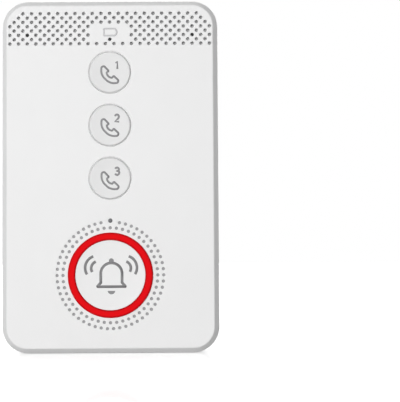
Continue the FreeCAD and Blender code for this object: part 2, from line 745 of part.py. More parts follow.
def speaker_frame(x):
    """Rectangular speaker basket, open in front, with a window for the coil behind."""
    y0 = cloth_front() + CLOTH_T + GASKET_T
    y1 = y0 + SPEAKER_DEPTH
    body = speaker_block(0, y0, y1, x)
    bowl = speaker_block(SPEAKER_SIDE_T, y0 - OVERCUT, y1 - SPEAKER_BACK_T, x)
    window = middle_block(COIL_WINDOW, y0, y1 + OVERCUT, x)
    return body.cut([bowl, window])


def speaker_cone(x):
    """Diaphragm with a raised middle and a coil former that reaches into the magnet's window."""
    y0 = cloth_front() + CLOTH_T + GASKET_T + CONE_SINK
    sheet = speaker_block(SPEAKER_RIM, y0, y0 + CONE_T, x)
    dome = middle_block(DOME_HALF, y0 - DOME_RISE, y0 + ROOT, x)
    former = middle_block(FORMER_HALF, y0, y0 + FORMER_LENGTH, x)
    bore = [side - FORMER_T for side in FORMER_HALF]
    hollow = middle_block(bore, y0 + CONE_T - FACE_OVERCUT, y0 + FORMER_LENGTH + OVERCUT, x)
    return join(sheet, dome, former).cut(hollow)


def speaker_magnet(x):
    """Magnet pot on the back of a speaker."""
    y0 = cloth_front() + CLOTH_T + GASKET_T + SPEAKER_DEPTH
    pot = middle_block((MAGNET_WIDTH / 2, MAGNET_HEIGHT / 2), y0, y0 + MAGNET_T, x)
    return pot.makeChamfer(MAGNET_EDGE, edges_at(pot, y0 + MAGNET_T))


def microphone_boot(x):
    """Rubber boot that seals a microphone against the face."""
    y0 = cloth_front()
    y1 = y0 + BOOT_DEPTH
    body = box(x - BOOT_HALF, x + BOOT_HALF, y0, y1, MIC_Z - BOOT_HALF, MIC_Z + BOOT_HALF)
    floor_y = y0 + BOOT_FLOOR
    port = prism(ROUND_SIDES, MIC_HOLE_R, y0 - OVERCUT, floor_y + ROOT, x, MIC_Z)
    w = MIC_HALF_WIDTH
    h = MIC_HALF_HEIGHT
    pocket = box(x - w, x + w, floor_y, y1 + OVERCUT, MIC_Z - h, MIC_Z + h)
    return body.cut([port, pocket])


def microphone(x):
    """Small rectangular microphone in its boot."""
    y0 = cloth_front() + BOOT_FLOOR
    w = MIC_HALF_WIDTH
    h = MIC_HALF_HEIGHT
    return box(x - w, x + w, y0, y0 + MIC_DEPTH, MIC_Z - h, MIC_Z + h)


def main_board():
    """Circuit board with corner notches for the case bosses and a tab that carries the battery light."""
    y0 = BOARD_Y
    y1 = BOARD_BACK_Y
    half = BOARD_HALF_WIDTH
    board = box(-half, half, y0, y1, BOARD_LOW_Z, BOARD_HIGH_Z)
    tab_half = BOARD_TAB_HALF_WIDTH
    board = join(board, box(-tab_half, tab_half, y0, y1, BOARD_HIGH_Z - OVERCUT, BOARD_TAB_Z))
    y0 -= OVERCUT
    y1 += OVERCUT
    cuts = []
    for x, z in boss_places():
        x0, x1 = sorted((math.copysign(BOSS_X - BOSS_NOTCH, x), math.copysign(WIDTH, x)))
        cuts.append(box(x0, x1, y0, y1, z - BOSS_NOTCH, z + BOSS_NOTCH))
    cuts += [prism(SMALL_SIDES, BOARD_SCREW_HOLE_R, y0, y1, x, z) for x, z in post_places()]
    return board.cut(cuts)


def switch_body(z):
    """Square push-switch housing with a well for its stem."""
    half = SWITCH_SIZE / 2
    top = BOARD_Y - SWITCH_HEIGHT
    body = box(-half, half, top, BOARD_Y, z - half, z + half)
    return body.cut(prism(SMALL_SIDES, STEM_WELL_R, top - OVERCUT, top + STEM_WELL_DEPTH, 0, z))


def switch_stem(z):
    """Stem of a push switch."""
    return prism(SMALL_SIDES, STEM_R, STEM_TOP_Y, STEM_BOTTOM_Y, 0, z)


def led(x, z):
    """Small surface light on the front of the board."""
    w = LED_HALF_WIDTH
    h = LED_HALF_HEIGHT
    return box(x - w, x + w, BOARD_Y - LED_HEIGHT, BOARD_Y, z - h, z + h)


def led_circle(radius, count):
    """Surface lights on a circle about the alarm key."""
    angles = [2 * math.pi * (k + 0.5) / count for k in range(count)]
    return group([led(radius * math.sin(a), ALARM_Z + radius * math.cos(a)) for a in angles])


def screw(head_r, head_t, shank_r, length, seat_y, x, z):
    """Screw along Y whose head lies behind its seat and whose shank points to the front."""
    head = prism(HEAD_SIDES, head_r, seat_y, seat_y + head_t, x, z)
    shank = prism(SMALL_SIDES, shank_r, seat_y - length, seat_y, x, z)
    return join(head, shank)


def case_screws():
    """The long screws that hold the two mouldings together."""
    return group([
        screw(CASE_SCREW_HEAD_R, CASE_SCREW_HEAD_T, CASE_SCREW_R, CASE_SCREW_LENGTH, CASE_SEAT_Y, x, z)
        for x, z in boss_places()
    ])


def board_screws():
    """The short screws that hold the board on its posts."""
    return group([
        screw(
            BOARD_SCREW_HEAD_R, BOARD_SCREW_HEAD_T, BOARD_SCREW_R, BOARD_SCREW_LENGTH, BOARD_BACK_Y, x, z
        )
        for x, z in post_places()
    ])


def cover_screw():
    """Small screw of the service cover."""
    return screw(
        COVER_SCREW_HEAD_R, COVER_SCREW_HEAD_T, BOARD_SCREW_R, COVER_SCREW_LENGTH,
        BACK_Y - COVER_SCREW_SINK, 0, COVER_SCREW_Z,
    )


def usb_socket():
    """Charging socket: a stamped oval shell on the back of the board, open to the left."""
    outside = side_stadium(USB_WIDTH, USB_T, USB_MOUTH_X, USB_BACK_X, USB_Y, USB_Z)
    inside = side_stadium(
        USB_WIDTH - 2 * USB_WALL, USB_T - 2 * USB_WALL,
        USB_MOUTH_X - OVERCUT, USB_BACK_X - USB_BACK_WALL, USB_Y, USB_Z,
    )
    return outside.cut(inside)


def usb_tongue():
    """Contact tongue in the charging socket."""
    x0 = USB_MOUTH_X + TONGUE_SINK
    x1 = USB_BACK_X - USB_BACK_WALL
    t = TONGUE_HALF_T
    w = TONGUE_HALF_WIDTH
    return box(x0, x1, USB_Y - t, USB_Y + t, USB_Z - w, USB_Z + w)


def power_switch_body():
    """Slide-switch housing on the board's left edge, with a long pocket for its slider."""
    x0 = SIDE_X + WALL + POWER_BODY_GAP
    x1 = x0 + POWER_BODY_DEPTH
    half = POWER_BODY_HALF_Z
    y1 = BOARD_BACK_Y + POWER_BODY_T
    body = box(x0, x1, BOARD_BACK_Y, y1, POWER_MIDDLE_Z - half, POWER_MIDDLE_Z + half)
    x1 = x0 + POWER_POCKET_DEPTH
    half = POWER_FOOT_HALF_Z + POWER_TRAVEL / 2 + POWER_POCKET_GAP
    t = POWER_POCKET_HALF_T
    pocket = box(x0 - OVERCUT, x1, POWER_Y - t, POWER_Y + t, POWER_MIDDLE_Z - half, POWER_MIDDLE_Z + half)
    return body.cut(pocket)


def power_slider():
    """Slider of the power switch: a foot inside the housing and a knob through the side wall."""
    y0 = POWER_Y - POWER_KNOB_HALF_T
    y1 = POWER_Y + POWER_KNOB_HALF_T
    x0, x1 = POWER_FOOT_X
    half = POWER_FOOT_HALF_Z
    foot = box(x0, x1, y0, y1, POWER_Z - half, POWER_Z + half)
    half = POWER_KNOB_HALF_Z
    knob = box(SIDE_X + POWER_KNOB_SINK, x0 + ROOT, y0, y1, POWER_Z - half, POWER_Z + half)
    return join(foot, knob)


def board_block(x0, x1, z0, z1, height, edge=0.0):
    """Component on the back of the board, with its far edges broken if asked."""
    top = BOARD_BACK_Y + height
    block = box(x0, x1, BOARD_BACK_Y, top, z0, z1)
    return block.makeChamfer(edge, edges_at(block, top)) if edge else block


def radio_module():
    """Small receiver board for the wireless help button."""
    return join(board_block(*RADIO_PLATE), board_block(*RADIO_CHIP))


def sim_socket():
    """Card socket under the service cover: a low tray with an open card slot."""
    half = SIM_HALF_WIDTH
    z0 = COVER_Z - SIM_BELOW
    z1 = COVER_Z + SIM_ABOVE
    top = BOARD_BACK_Y + SIM_T
    body = box(-half, half, BOARD_BACK_Y, top, z0, z1)
    slot_front, slot_back = (BOARD_BACK_Y + rise for rise in SIM_SLOT_Y)
    half -= SIM_WALL
    slot = box(-half, half, slot_front, slot_back, z0 - OVERCUT, z1 - SIM_END_WALL)
    half = SIM_WINDOW_HALF
    window_high = z0 + SIM_WINDOW_LENGTH
    window = box(-half, half, slot_back - ROOT, top + OVERCUT, z0 - OVERCUT, window_high)
    return body.cut([slot, window])


def battery_cell():
    """Flat rechargeable cell with broken edges."""
    y1 = BACK_WALL_Y - BATTERY_PAD_T
    y0 = y1 - BATTERY_T
    w = BATTERY_WIDTH / 2
    h = BATTERY_HEIGHT / 2
    cell = box(-w, w, y0, y1, BATTERY_Z - h, BATTERY_Z + h)
    return cell.makeChamfer(BATTERY_EDGE, edges_at(cell, y0) + edges_at(cell, y1))


def battery_pad():
    """Adhesive pad that holds the cell to the rear moulding."""
    side, end = BATTERY_PAD_MARGIN
    w = BATTERY_WIDTH / 2 - side
    h = BATTERY_HEIGHT / 2 - end
    return box(-w, w, BACK_WALL_Y - BATTERY_PAD_T, BACK_WALL_Y, BATTERY_Z - h, BATTERY_Z + h)


def battery_lead():
    """Flat lead from the cell's top edge to its connector on the board."""
    top = BATTERY_Z + BATTERY_HEIGHT / 2
    y_cell = BACK_WALL_Y - BATTERY_PAD_T - BATTERY_T / 2
    y_board = BOARD_BACK_Y + BATTERY_CONNECTOR[2] / 2
    end = top + BATTERY_LEAD_RISE
    path = [(y_cell, top), (y_cell, top + 3.0), (y_board, end - 3.0), (y_board, end)]
    return bent_strip(path, -BATTERY_LEAD_HALF_WIDTH, BATTERY_LEAD_HALF_WIDTH)


def battery_connector():
    """Connector of the battery's lead."""
    z0 = BATTERY_Z + BATTERY_HEIGHT / 2 + BATTERY_LEAD_RISE
    width, length, height = BATTERY_CONNECTOR
    return board_block(-width / 2, width / 2, z0, z0 + length, height)


def speaker_lead(x):
    """Flat lead from a speaker's frame to the board's top edge."""
    y_frame = cloth_front() + CLOTH_T + GASKET_T + SPEAKER_DEPTH + STRIP_T / 2
    y_board = BOARD_Y - STRIP_T / 2
    low = SPEAKER_Z - SPEAKER_HEIGHT / 2
    path = [(y_frame, low + 2.0), (y_frame, low - 1.5), (y_board, low - 4.5), (y_board, low - 12.0)]
    return bent_strip(path, x - SPEAKER_LEAD_HALF_WIDTH, x + SPEAKER_LEAD_HALF_WIDTH)


def cellular_antenna():
    """Flexible meander antenna stuck inside the rear moulding, above the board."""
    y0 = BACK_WALL_Y - STRIP_T
    y1 = BACK_WALL_Y
    reach = ANTENNA_HALF_WIDTH
    step = 2 * reach / ANTENNA_NOTCHES
    half = ANTENNA_NOTCH_WIDTH / 2
    notches = []
    for k in range(ANTENNA_NOTCHES):
        x = step * (k + 0.5) - reach
        top = ANTENNA_HIGH_Z + OVERCUT
        notches.append(box(x - half, x + half, y0 - OVERCUT, y1 + OVERCUT, ANTENNA_NOTCH_Z, top))
    return box(-reach, reach, y0, y1, ANTENNA_LOW_Z, ANTENNA_HIGH_Z).cut(notches)


def save(name, shape):
    """Write one node."""
    if not shape.isValid():
        raise ValueError("not a valid shape: " + name)
    shape.exportStep(os.path.join("parts", name + ".step"))
    print(name, len(shape.Solids), "solids", round(shape.Volume, 2), "mm3")


def main():
    """Build every node and write it."""
    os.makedirs("parts", exist_ok=True)
    save("front_shell", front_shell())
    save("rear_shell", rear_shell())
    save("case_screws", case_screws())
    save("service_cover", service_cover())
    save("service_cover_screw", cover_screw())

    for number, z in enumerate(CALL_Z, 1):
        save("call_button_%d" % number, call_button(z))
        save("call_switch_body_%d" % number, switch_body(z))
        save("call_switch_stem_%d" % number, switch_stem(z))
    save("alarm_button", alarm_button())
    save("alarm_ring", alarm_ring())
    save("alarm_switch_body", switch_body(ALARM_Z))
    save("alarm_switch_stem", switch_stem(ALARM_Z))
    save("halo_diffuser", halo_diffuser())
    save("alarm_light_pipe", light_pipe(ALARM_LIGHT_R, ALARM_LIGHT_Z))
    save("battery_light_pipe", light_pipe(BATTERY_LIGHT_R, BATTERY_LIGHT_Z))

    save("grille_cloth", grille_cloth())
    for side, sign in (("left", -1), ("right", 1)):
        save("speaker_gasket_" + side, speaker_gasket(sign * SPEAKER_X))
        save("speaker_frame_" + side, speaker_frame(sign * SPEAKER_X))
        save("speaker_cone_" + side, speaker_cone(sign * SPEAKER_X))
        save("speaker_magnet_" + side, speaker_magnet(sign * SPEAKER_X))
        save("speaker_lead_" + side, speaker_lead(sign * SPEAKER_X))
        save("microphone_boot_" + side, microphone_boot(sign * MIC_X))
        save("microphone_" + side, microphone(sign * MIC_X))

    save("main_board", main_board())
    save("board_screws", board_screws())
    save("indicator_leds", group([led(0, BATTERY_LIGHT_Z), led(0, ALARM_LIGHT_Z)]))
    save("ring_leds", led_circle(RING_LEDS_R, RING_LEDS))
    save("halo_leds", led_circle(HALO_LEDS_R, HALO_LEDS))
    save("cellular_module", board_block(*CELLULAR_MODULE, CELLULAR_CAN_EDGE))
    save("radio_module", radio_module())
    save("processor_chip", board_block(*PROCESSOR))
    save("sim_socket", sim_socket())
    save("cellular_antenna", cellular_antenna())

    save("battery_cell", battery_cell())
    save("battery_pad", battery_pad())
    save("battery_lead", battery_lead())
    save("battery_connector", battery_connector())
    save("usb_socket", usb_socket())
    save("usb_tongue", usb_tongue())
    save("power_switch_body", power_switch_body())
    save("power_slider", power_slider())


main()
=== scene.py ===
"""Scene of an upright medical alert base station.

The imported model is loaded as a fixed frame. Classes then dress it: the moulded shells with their sound holes,
the call keys, the alarm key with its red ring, the small hardware, the inner works, the light and the camera.
Sizes are in millimetres and become metres where a mesh is made. X runs to the right seen from the front, the
front looks along -Y and Z is up.
"""

import logging
import math
from collections.abc import Callable, Iterator, Sequence
from contextlib import contextmanager
from dataclasses import dataclass, field
from enum import Enum

import bmesh
import bpy
from mathutils import Matrix, Vector


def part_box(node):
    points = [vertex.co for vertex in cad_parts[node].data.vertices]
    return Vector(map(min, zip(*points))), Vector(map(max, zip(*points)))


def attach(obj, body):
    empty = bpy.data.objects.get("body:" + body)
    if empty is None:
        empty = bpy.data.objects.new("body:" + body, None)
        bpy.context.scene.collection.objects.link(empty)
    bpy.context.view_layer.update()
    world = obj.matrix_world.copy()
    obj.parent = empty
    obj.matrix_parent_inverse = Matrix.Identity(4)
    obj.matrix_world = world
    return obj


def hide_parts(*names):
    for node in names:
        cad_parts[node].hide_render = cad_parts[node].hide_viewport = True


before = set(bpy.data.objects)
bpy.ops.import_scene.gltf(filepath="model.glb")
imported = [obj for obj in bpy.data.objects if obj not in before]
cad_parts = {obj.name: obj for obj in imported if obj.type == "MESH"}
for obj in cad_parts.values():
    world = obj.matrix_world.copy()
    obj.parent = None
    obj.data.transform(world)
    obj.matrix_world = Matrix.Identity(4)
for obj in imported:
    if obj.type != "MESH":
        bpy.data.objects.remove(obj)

LOG = logging.getLogger("base_station")
MM = 0.001
MERGE = 0.002 * MM
HOUSING = "housing"

Colour = tuple[float, float, float]
Flat = tuple[float, float]
Place = tuple[float, float, float]
Hole = tuple[float, float, float]
Stop = tuple[float, Colour]
Inputs = dict[str | int, object]


class Grade(Enum):
    """How fine a turned or rounded form is divided, as points on a full circle."""

    SMALL = 24
    MEDIUM = 64
    LARGE = 128


class Brushing(Enum):
    """Direction in which a metal's fine lines run, as the scale of their noise along each axis."""

    LEVEL = (1.0, 4.0, 40.0)
    UPRIGHT = (40.0, 4.0, 1.0)


def node_box(node: str) -> tuple[Vector, Vector]:
    """Lowest and highest corner of a CAD node in millimetres."""
    low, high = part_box(node)
    return low / MM, high / MM


def node_middle(node: str) -> Flat:
    """Middle (y, z) of a CAD node's box in millimetres."""
    low, high = node_box(node)
    return (low.y + high.y) / 2, (low.z + high.z) / 2


class NodeTree:
    """Node tree whose nodes are added together with their links and values."""

    def __init__(self, tree: bpy.types.NodeTree) -> None:
        """Work on one of Blender's node trees."""
        self.tree = tree

    def fill(self, node: bpy.types.Node, inputs: Inputs) -> None:
        """Fill a node's inputs.

        Args:
            node: The node.
            inputs: Input name or number to the socket that feeds it or the value that it holds.
        """
        for key, given in inputs.items():
            if isinstance(given, bpy.types.NodeSocket):
                self.tree.links.new(given, node.inputs[key])
            else:
                node.inputs[key].default_value = given

    def add(self, kind: str, inputs: Inputs | None = None, **settings: object) -> bpy.types.Node:
        """Add a node.

        Args:
            kind: Blender's name of the node type.
            inputs: What its inputs hold, as for fill.
            settings: Properties of the node.

        Returns:
            The new node.
        """
        node = self.tree.nodes.new(kind)
        for key, value in settings.items():
            setattr(node, key, value)
        self.fill(node, inputs or {})
        return node


class ShaderTree(NodeTree):
    """Material on a Principled shader, with its patterns on Object coordinates."""

    def __init__(self, name: str) -> None:
        """Start a material.

        Args:
            name: Name of the material.
        """
        self.material = bpy.data.materials.new(name)
        self.material.use_nodes = True
        super().__init__(self.material.node_tree)
        self.shader = self.tree.nodes["Principled BSDF"]
        self.coordinates = self.add("ShaderNodeTexCoord").outputs["Object"]

    def noise(self, size_mm: float, detail: float = 2.0, stretch: Place = (1.0, 1.0, 1.0)) -> bpy.types.NodeSocket:
        """Noise whose patches have a real size.

        Args:
            size_mm: Size of a patch in millimetres.
            detail: Number of finer layers.
            stretch: Scale along each axis.

        Returns:
            The noise value.
        """
        mapping = self.add("ShaderNodeMapping", {"Vector": self.coordinates, "Scale": stretch})
        fine = {"Vector": mapping.outputs["Vector"], "Scale": 1.0 / (size_mm * MM), "Detail": detail}
        return self.add("ShaderNodeTexNoise", fine).outputs["Fac"]

    def plain(self, roughness: float | None = None, specular: float | None = None) -> None:
        """Set values that are the same all over the surface.

        Args:
            roughness: Roughness, where no pattern gives it.
            specular: Level of the gloss, where it isn't the usual one.
        """
        given = {"Roughness": roughness, "Specular IOR Level": specular}
        self.fill(self.shader, {key: value for key, value in given.items() if value is not None})

    def colour(self, value: bpy.types.NodeSocket, first: Stop, last: Stop) -> None:
        """Let the base colour run between two colours.

        Args:
            value: Socket that the colour follows.
            first: Value and colour at which the run starts.
            last: Value and colour at which it ends.
        """
        ramp = self.add("ShaderNodeValToRGB", {"Fac": value})
        for element, (place, tint) in zip(ramp.color_ramp.elements, (first, last)):
            element.position = place
            element.color = (*tint, 1.0)
        self.fill(self.shader, {"Base Color": ramp.outputs["Color"]})

    def relief(self, value: bpy.types.NodeSocket, height_mm: float) -> None:
        """Use a value between 0 and 1 as surface relief.

        Args:
            value: Socket that gives the height.
            height_mm: Full height of the relief in millimetres.
        """
        bump = self.add("ShaderNodeBump", {"Height": value, "Distance": height_mm * MM, "Strength": 1.0})
        self.fill(self.shader, {"Normal": bump.outputs["Normal"]})

    def rough(self, value: bpy.types.NodeSocket, low: float, high: float) -> None:
        """Let the roughness follow a value between 0 and 1.

        Args:
            value: Socket that the roughness follows.
            low: Roughness at 0.
            high: Roughness at 1.
        """
        span = self.add("ShaderNodeMapRange", {"Value": value, "To Min": low, "To Max": high})
        self.fill(self.shader, {"Roughness": span.outputs["Result"]})


def shaded(colour: Colour, share: float) -> Colour:
    """A colour made lighter or darker by a share."""
    return tuple(min(1.0, channel * share) for channel in colour)


@dataclass(frozen=True)
class MouldedPlastic:
    """Injection-moulded plastic with a fine spark-eroded grain."""

    name: str
    tint: Colour
    roughness: float = 0.52
    grain_mm: float = 0.22
    grain_height_mm: float = 0.006
    patch_mm: float = 14.0
    mottling: float = 0.012

    def material(self) -> bpy.types.Material:
        """Build the finish.

        Returns:
            The material.
        """
        tree = ShaderTree(self.name)
        patches = tree.noise(self.patch_mm, 3.0)
        tree.colour(patches, (0.3, shaded(self.tint, 1 - self.mottling)), (0.7, self.tint))
        grain = tree.noise(self.grain_mm, 3.0)
        tree.relief(grain, self.grain_height_mm)
        tree.rough(grain, self.roughness - 0.05, self.roughness + 0.06)
        tree.plain(specular=0.3)
        return tree.material


@dataclass(frozen=True)
class RedLens:
    """Translucent red plastic with painted shade: its colour darkens from the crest towards both edges."""

    name: str
    crest: Colour
    # Colour at the ring's edges: painted shade, darker than the crest.
    edge: Colour
    centre: Place
    middle_r: float
    half_width: float

    def material(self) -> bpy.types.Material:
        """Build the finish.

        Returns:
            The material.
        """
        tree = ShaderTree(self.name)
        centred = {"Vector": tree.coordinates, "Location": tuple(-value * MM for value in self.centre)}
        vector = tree.add("ShaderNodeMapping", centred).outputs["Vector"]
        flat = tree.add("ShaderNodeVectorMath", {0: vector, 1: (1.0, 0.0, 1.0)}, operation="MULTIPLY")
        distance = tree.add("ShaderNodeVectorMath", {0: flat.outputs["Vector"]}, operation="LENGTH")
        value = distance.outputs["Value"]
        for operation, number in (("SUBTRACT", self.middle_r), ("ABSOLUTE", 0.0), ("DIVIDE", self.half_width)):
            value = tree.add("ShaderNodeMath", {0: value, 1: number * MM}, operation=operation).outputs["Value"]
        # Painted shade: the colour runs from the crest red to the darker edge red towards both sides of the ring.
        tree.colour(value, (0.4, self.crest), (0.98, self.edge))
        tree.relief(tree.noise(0.6), 0.002)
        tree.plain(0.6, 0.03)
        return tree.material


@dataclass(frozen=True)
class DarkLens:
    """Smoked clear plastic of an unlit light."""

    name: str
    tint: Colour

    def material(self) -> bpy.types.Material:
        """Build the finish.

        Returns:
            The material.
        """
        tree = ShaderTree(self.name)
        cloud = tree.noise(0.5)
        tree.colour(cloud, (0.3, shaded(self.tint, 0.8)), (0.7, self.tint))
        tree.rough(cloud, 0.3, 0.4)
        tree.plain(specular=0.2)
        return tree.material


@dataclass(frozen=True)
class Ink:
    """Pad-printed ink with a faintly uneven coat."""

    name: str
    tint: Colour

    def material(self) -> bpy.types.Material:
        """Build the finish.

        Returns:
            The material.
        """
        tree = ShaderTree(self.name)
        coat = tree.noise(0.35, 3.0)
        tree.colour(coat, (0.25, shaded(self.tint, 0.93)), (0.75, shaded(self.tint, 1.05)))
        tree.relief(coat, 0.003)
        tree.plain(0.6)
        return tree.material


@dataclass(frozen=True)
class WovenCloth:
    """Plain-woven dust cloth."""

    name: str
    thread: Colour
    gap: Colour
    pitch_mm: float = 0.28

    def material(self) -> bpy.types.Material:
        """Build the finish.

        Returns:
            The material.
        """
        tree = ShaderTree(self.name)
        wave = {"Vector": tree.coordinates, "Scale": 0.314 / (self.pitch_mm * MM), "Distortion": 0.4}
        warp, weft = (tree.add("ShaderNodeTexWave", wave, bands_direction=d).outputs["Fac"] for d in ("X", "Z"))
        cross = tree.add("ShaderNodeMath", {0: warp, 1: weft}, operation="MULTIPLY").outputs["Value"]
        tree.colour(cross, (0.05, self.gap), (0.6, self.thread))
        tree.relief(cross, 0.08)
        tree.plain(0.85)
        tree.fill(tree.shader, {"Sheen Weight": 0.2})
        return tree.material


@dataclass(frozen=True)
class DrawnMetal:
    """Plated, stamped or rolled metal with fine lines along one direction."""

    name: str
    tint: Colour
    roughness: float = 0.3
    brushing: Brushing = Brushing.LEVEL

    def material(self) -> bpy.types.Material:
        """Build the finish.

        Returns:
            The material.
        """
        tree = ShaderTree(self.name)
        lines = tree.noise(1.2, 4.0, self.brushing.value)
        tree.colour(lines, (0.3, shaded(self.tint, 0.86)), (0.7, self.tint))
        tree.rough(lines, self.roughness - 0.08, self.roughness + 0.12)
        tree.relief(lines, 0.004)
        tree.fill(tree.shader, {"Metallic": 1.0})
        return tree.material


@dataclass(frozen=True)
class CircuitLaminate:
    """Green circuit board with copper tracks under its solder mask."""

    name: str
    mask: Colour
    track: Colour
    scale: float = 160.0

    def material(self) -> bpy.types.Material:
        """Build the finish.

        Returns:
            The material.
        """
        tree = ShaderTree(self.name)
        upright = {"Vector": tree.coordinates, "Rotation": (math.radians(90), 0.0, 0.0)}
        bricks = {
            "Vector": tree.add("ShaderNodeMapping", upright).outputs["Vector"],
            "Scale": self.scale,
            "Mortar Size": 0.035,
            "Mortar Smooth": 0.1,
            "Color1": (*self.mask, 1.0),
            "Color2": (*shaded(self.mask, 0.8), 1.0),
            "Mortar": (*self.track, 1.0),
        }
        tracks = tree.add(
            "ShaderNodeTexBrick", bricks, offset=0.37, offset_frequency=3, squash=0.6, squash_frequency=2
        )
        tree.fill(tree.shader, {"Base Color": tracks.outputs["Color"]})
        tree.relief(tracks.outputs["Fac"], 0.03)
        tree.rough(tree.noise(3.0), 0.28, 0.4)
        return tree.material


@dataclass(frozen=True)
class Foam:
    """Open or rubbery foam with visible cells."""

    name: str
    tint: Colour
    cell_mm: float = 0.35

    def material(self) -> bpy.types.Material:
        """Build the finish.

        Returns:
            The material.
        """
        tree = ShaderTree(self.name)
        cells = {"Vector": tree.coordinates, "Scale": 1.0 / (self.cell_mm * MM)}
        distance = tree.add("ShaderNodeTexVoronoi", cells).outputs["Distance"]
        tree.colour(distance, (0.0, shaded(self.tint, 0.5)), (0.6, self.tint))
        tree.relief(distance, 0.1)
        tree.plain(0.9)
        return tree.material


@dataclass(frozen=True)
class Film:
    """Polyimide film with buried copper."""

    name: str
    tint: Colour
    copper: Colour
    scale: float = 160.0

    def material(self) -> bpy.types.Material:
        """Build the finish.

        Returns:
            The material.
        """
        tree = ShaderTree(self.name)
        wave = {"Vector": tree.coordinates, "Scale": self.scale}
        lanes = tree.add("ShaderNodeTexWave", wave, bands_direction="X").outputs["Fac"]
        tree.colour(lanes, (0.45, self.tint), (0.6, self.copper))
        tree.relief(lanes, 0.02)
        tree.plain(0.35)
        return tree.material


WHITE: Colour = (0.87, 0.87, 0.87)
RED_CREST: Colour = (0.84, 0.004, 0.008)
# Red at the ring's edges: painted shade, darker than the crest red.
RED_EDGE_SHADE: Colour = (0.50, 0.004, 0.008)
RING_MIDDLE_R = 16.4
RING_HALF_WIDTH = 1.55
ALARM_CENTRE: Place = (0.0, 0.0, 32.9)


@dataclass
class Finishes:
    """Every finish of the object, built once."""

    built: dict[str, bpy.types.Material] = field(default_factory=dict)

    def __post_init__(self) -> None:
        """Build the materials."""
        kinds = (
            MouldedPlastic("casing_plastic", WHITE),
            MouldedPlastic("rear_plastic", shaded(WHITE, 0.985), 0.48),
            MouldedPlastic("cover_plastic", shaded(WHITE, 0.97), 0.5, 0.3),
            # Call keys: the casing white made darker, painted shade that the caps show.
            MouldedPlastic("key_plastic", shaded(WHITE, 0.92), grain_mm=0.16),
            MouldedPlastic("wide_key_plastic", WHITE, grain_mm=0.16),
            MouldedPlastic("milky_plastic", (0.70, 0.70, 0.71), 0.4),
            # Dark grey floor under the light dots: painted shade in the dot holes.
            MouldedPlastic("dot_floor_painted_shade", (0.31, 0.31, 0.315), 0.5),
            MouldedPlastic("black_plastic", (0.02, 0.02, 0.022), 0.45),
            MouldedPlastic("stem_plastic", (0.74, 0.74, 0.70), 0.4),
            MouldedPlastic("ivory_plastic", (0.70, 0.66, 0.52), 0.45),
            MouldedPlastic("slider_plastic", (0.045, 0.045, 0.05), 0.5, 0.3),
            MouldedPlastic("chip_epoxy", (0.018, 0.018, 0.02), 0.55, 0.4),
            MouldedPlastic("light_phosphor", (0.80, 0.72, 0.30), 0.4),
            RedLens("red_lens", RED_CREST, RED_EDGE_SHADE, ALARM_CENTRE, RING_MIDDLE_R, RING_HALF_WIDTH),
            DarkLens("battery_light_lens", (0.012, 0.012, 0.014)),
            DarkLens("alarm_light_lens", (0.15, 0.15, 0.16)),
            Ink("mark_ink", (0.29, 0.29, 0.295)),
            Ink("bell_ink", (0.225, 0.225, 0.23)),
            Ink("battery_ink", (0.64, 0.64, 0.65)),
            WovenCloth("dust_cloth", (0.6, 0.6, 0.605), (0.4, 0.4, 0.4)),
            DrawnMetal("plated_steel", (0.62, 0.62, 0.63), 0.28),
            DrawnMetal("tinned_can", (0.70, 0.70, 0.70), 0.36),
            DrawnMetal("magnet_plate", (0.50, 0.50, 0.52), 0.34, Brushing.UPRIGHT),
            DrawnMetal("gold_contact", (0.78, 0.56, 0.20), 0.25, Brushing.UPRIGHT),
            DrawnMetal("cell_foil", (0.66, 0.66, 0.68), 0.42, Brushing.UPRIGHT),
            CircuitLaminate("board_laminate", (0.012, 0.12, 0.045), (0.03, 0.22, 0.08)),
            Foam("black_foam", (0.03, 0.03, 0.03)),
            Foam("pad_foam", (0.22, 0.22, 0.23), 0.5),
            Foam("boot_rubber", (0.5, 0.5, 0.505), 0.8),
            Foam("cone_pulp", (0.05, 0.045, 0.04), 0.6),
            Film("amber_film", (0.42, 0.16, 0.02), (0.55, 0.26, 0.06)),
        )
        for kind in kinds:
            self.built[kind.name] = kind.material()

    def __getitem__(self, name: str) -> bpy.types.Material:
        """The material of a finish."""
        return self.built[name]


def mesh_of(
    points: Sequence[Vector], faces: Sequence[Sequence[int]], edges: Sequence[tuple[int, int]] = ()
) -> bpy.types.Mesh:
    """Mesh from points in millimetres.

    Args:
        points: Corners in millimetres.
        faces: Corner numbers of each face.
        edges: Corner numbers of each loose edge.

    Returns:
        The mesh, in metres.
    """
    mesh = bpy.data.meshes.new("mesh")
    mesh.from_pydata([point * MM for point in points], list(edges), list(faces))
    mesh.update()
    return mesh


def piece(name: str, mesh: bpy.types.Mesh, material: bpy.types.Material | None = None) -> bpy.types.Object:
    """Object of the scene that holds a mesh.

    Args:
        name: Name of the piece.
        mesh: Its mesh, already in place.
        material: Its finish, if the mesh doesn't carry one.

    Returns:
        The linked object.
    """
    obj = bpy.data.objects.new(name, mesh)
    bpy.context.scene.collection.objects.link(obj)
    if material is not None:
        obj.data.materials.clear()
        obj.data.materials.append(material)
    return obj


@contextmanager
def editing(mesh: bpy.types.Mesh) -> Iterator[bmesh.types.BMesh]:
    """Open a mesh for editing and write it back at the end.

    Args:
        mesh: The mesh.

    Yields:
        The open mesh.
    """
    work = bmesh.new()
    work.from_mesh(mesh)
    yield work
    work.to_mesh(mesh)
    work.free()


def tidy_normals(mesh: bpy.types.Mesh) -> None:
    """Merge a closed mesh's doubles and turn its faces outwards.

    Args:
        mesh: The mesh.
    """
    with editing(mesh) as work:
        bmesh.ops.remove_doubles(work, verts=work.verts, dist=MERGE)
        bmesh.ops.recalc_face_normals(work, faces=work.faces)


def joined(meshes: Sequence[bpy.types.Mesh]) -> bpy.types.Mesh:
    """Join meshes and merge their common corners.

    Args:
        meshes: The meshes.

    Returns:
        One mesh.
    """
    work = bmesh.new()
    for mesh in meshes:
        work.from_mesh(mesh)
    result = bpy.data.meshes.new("joined")
    work.to_mesh(result)
    work.free()
    tidy_normals(result)
    return result


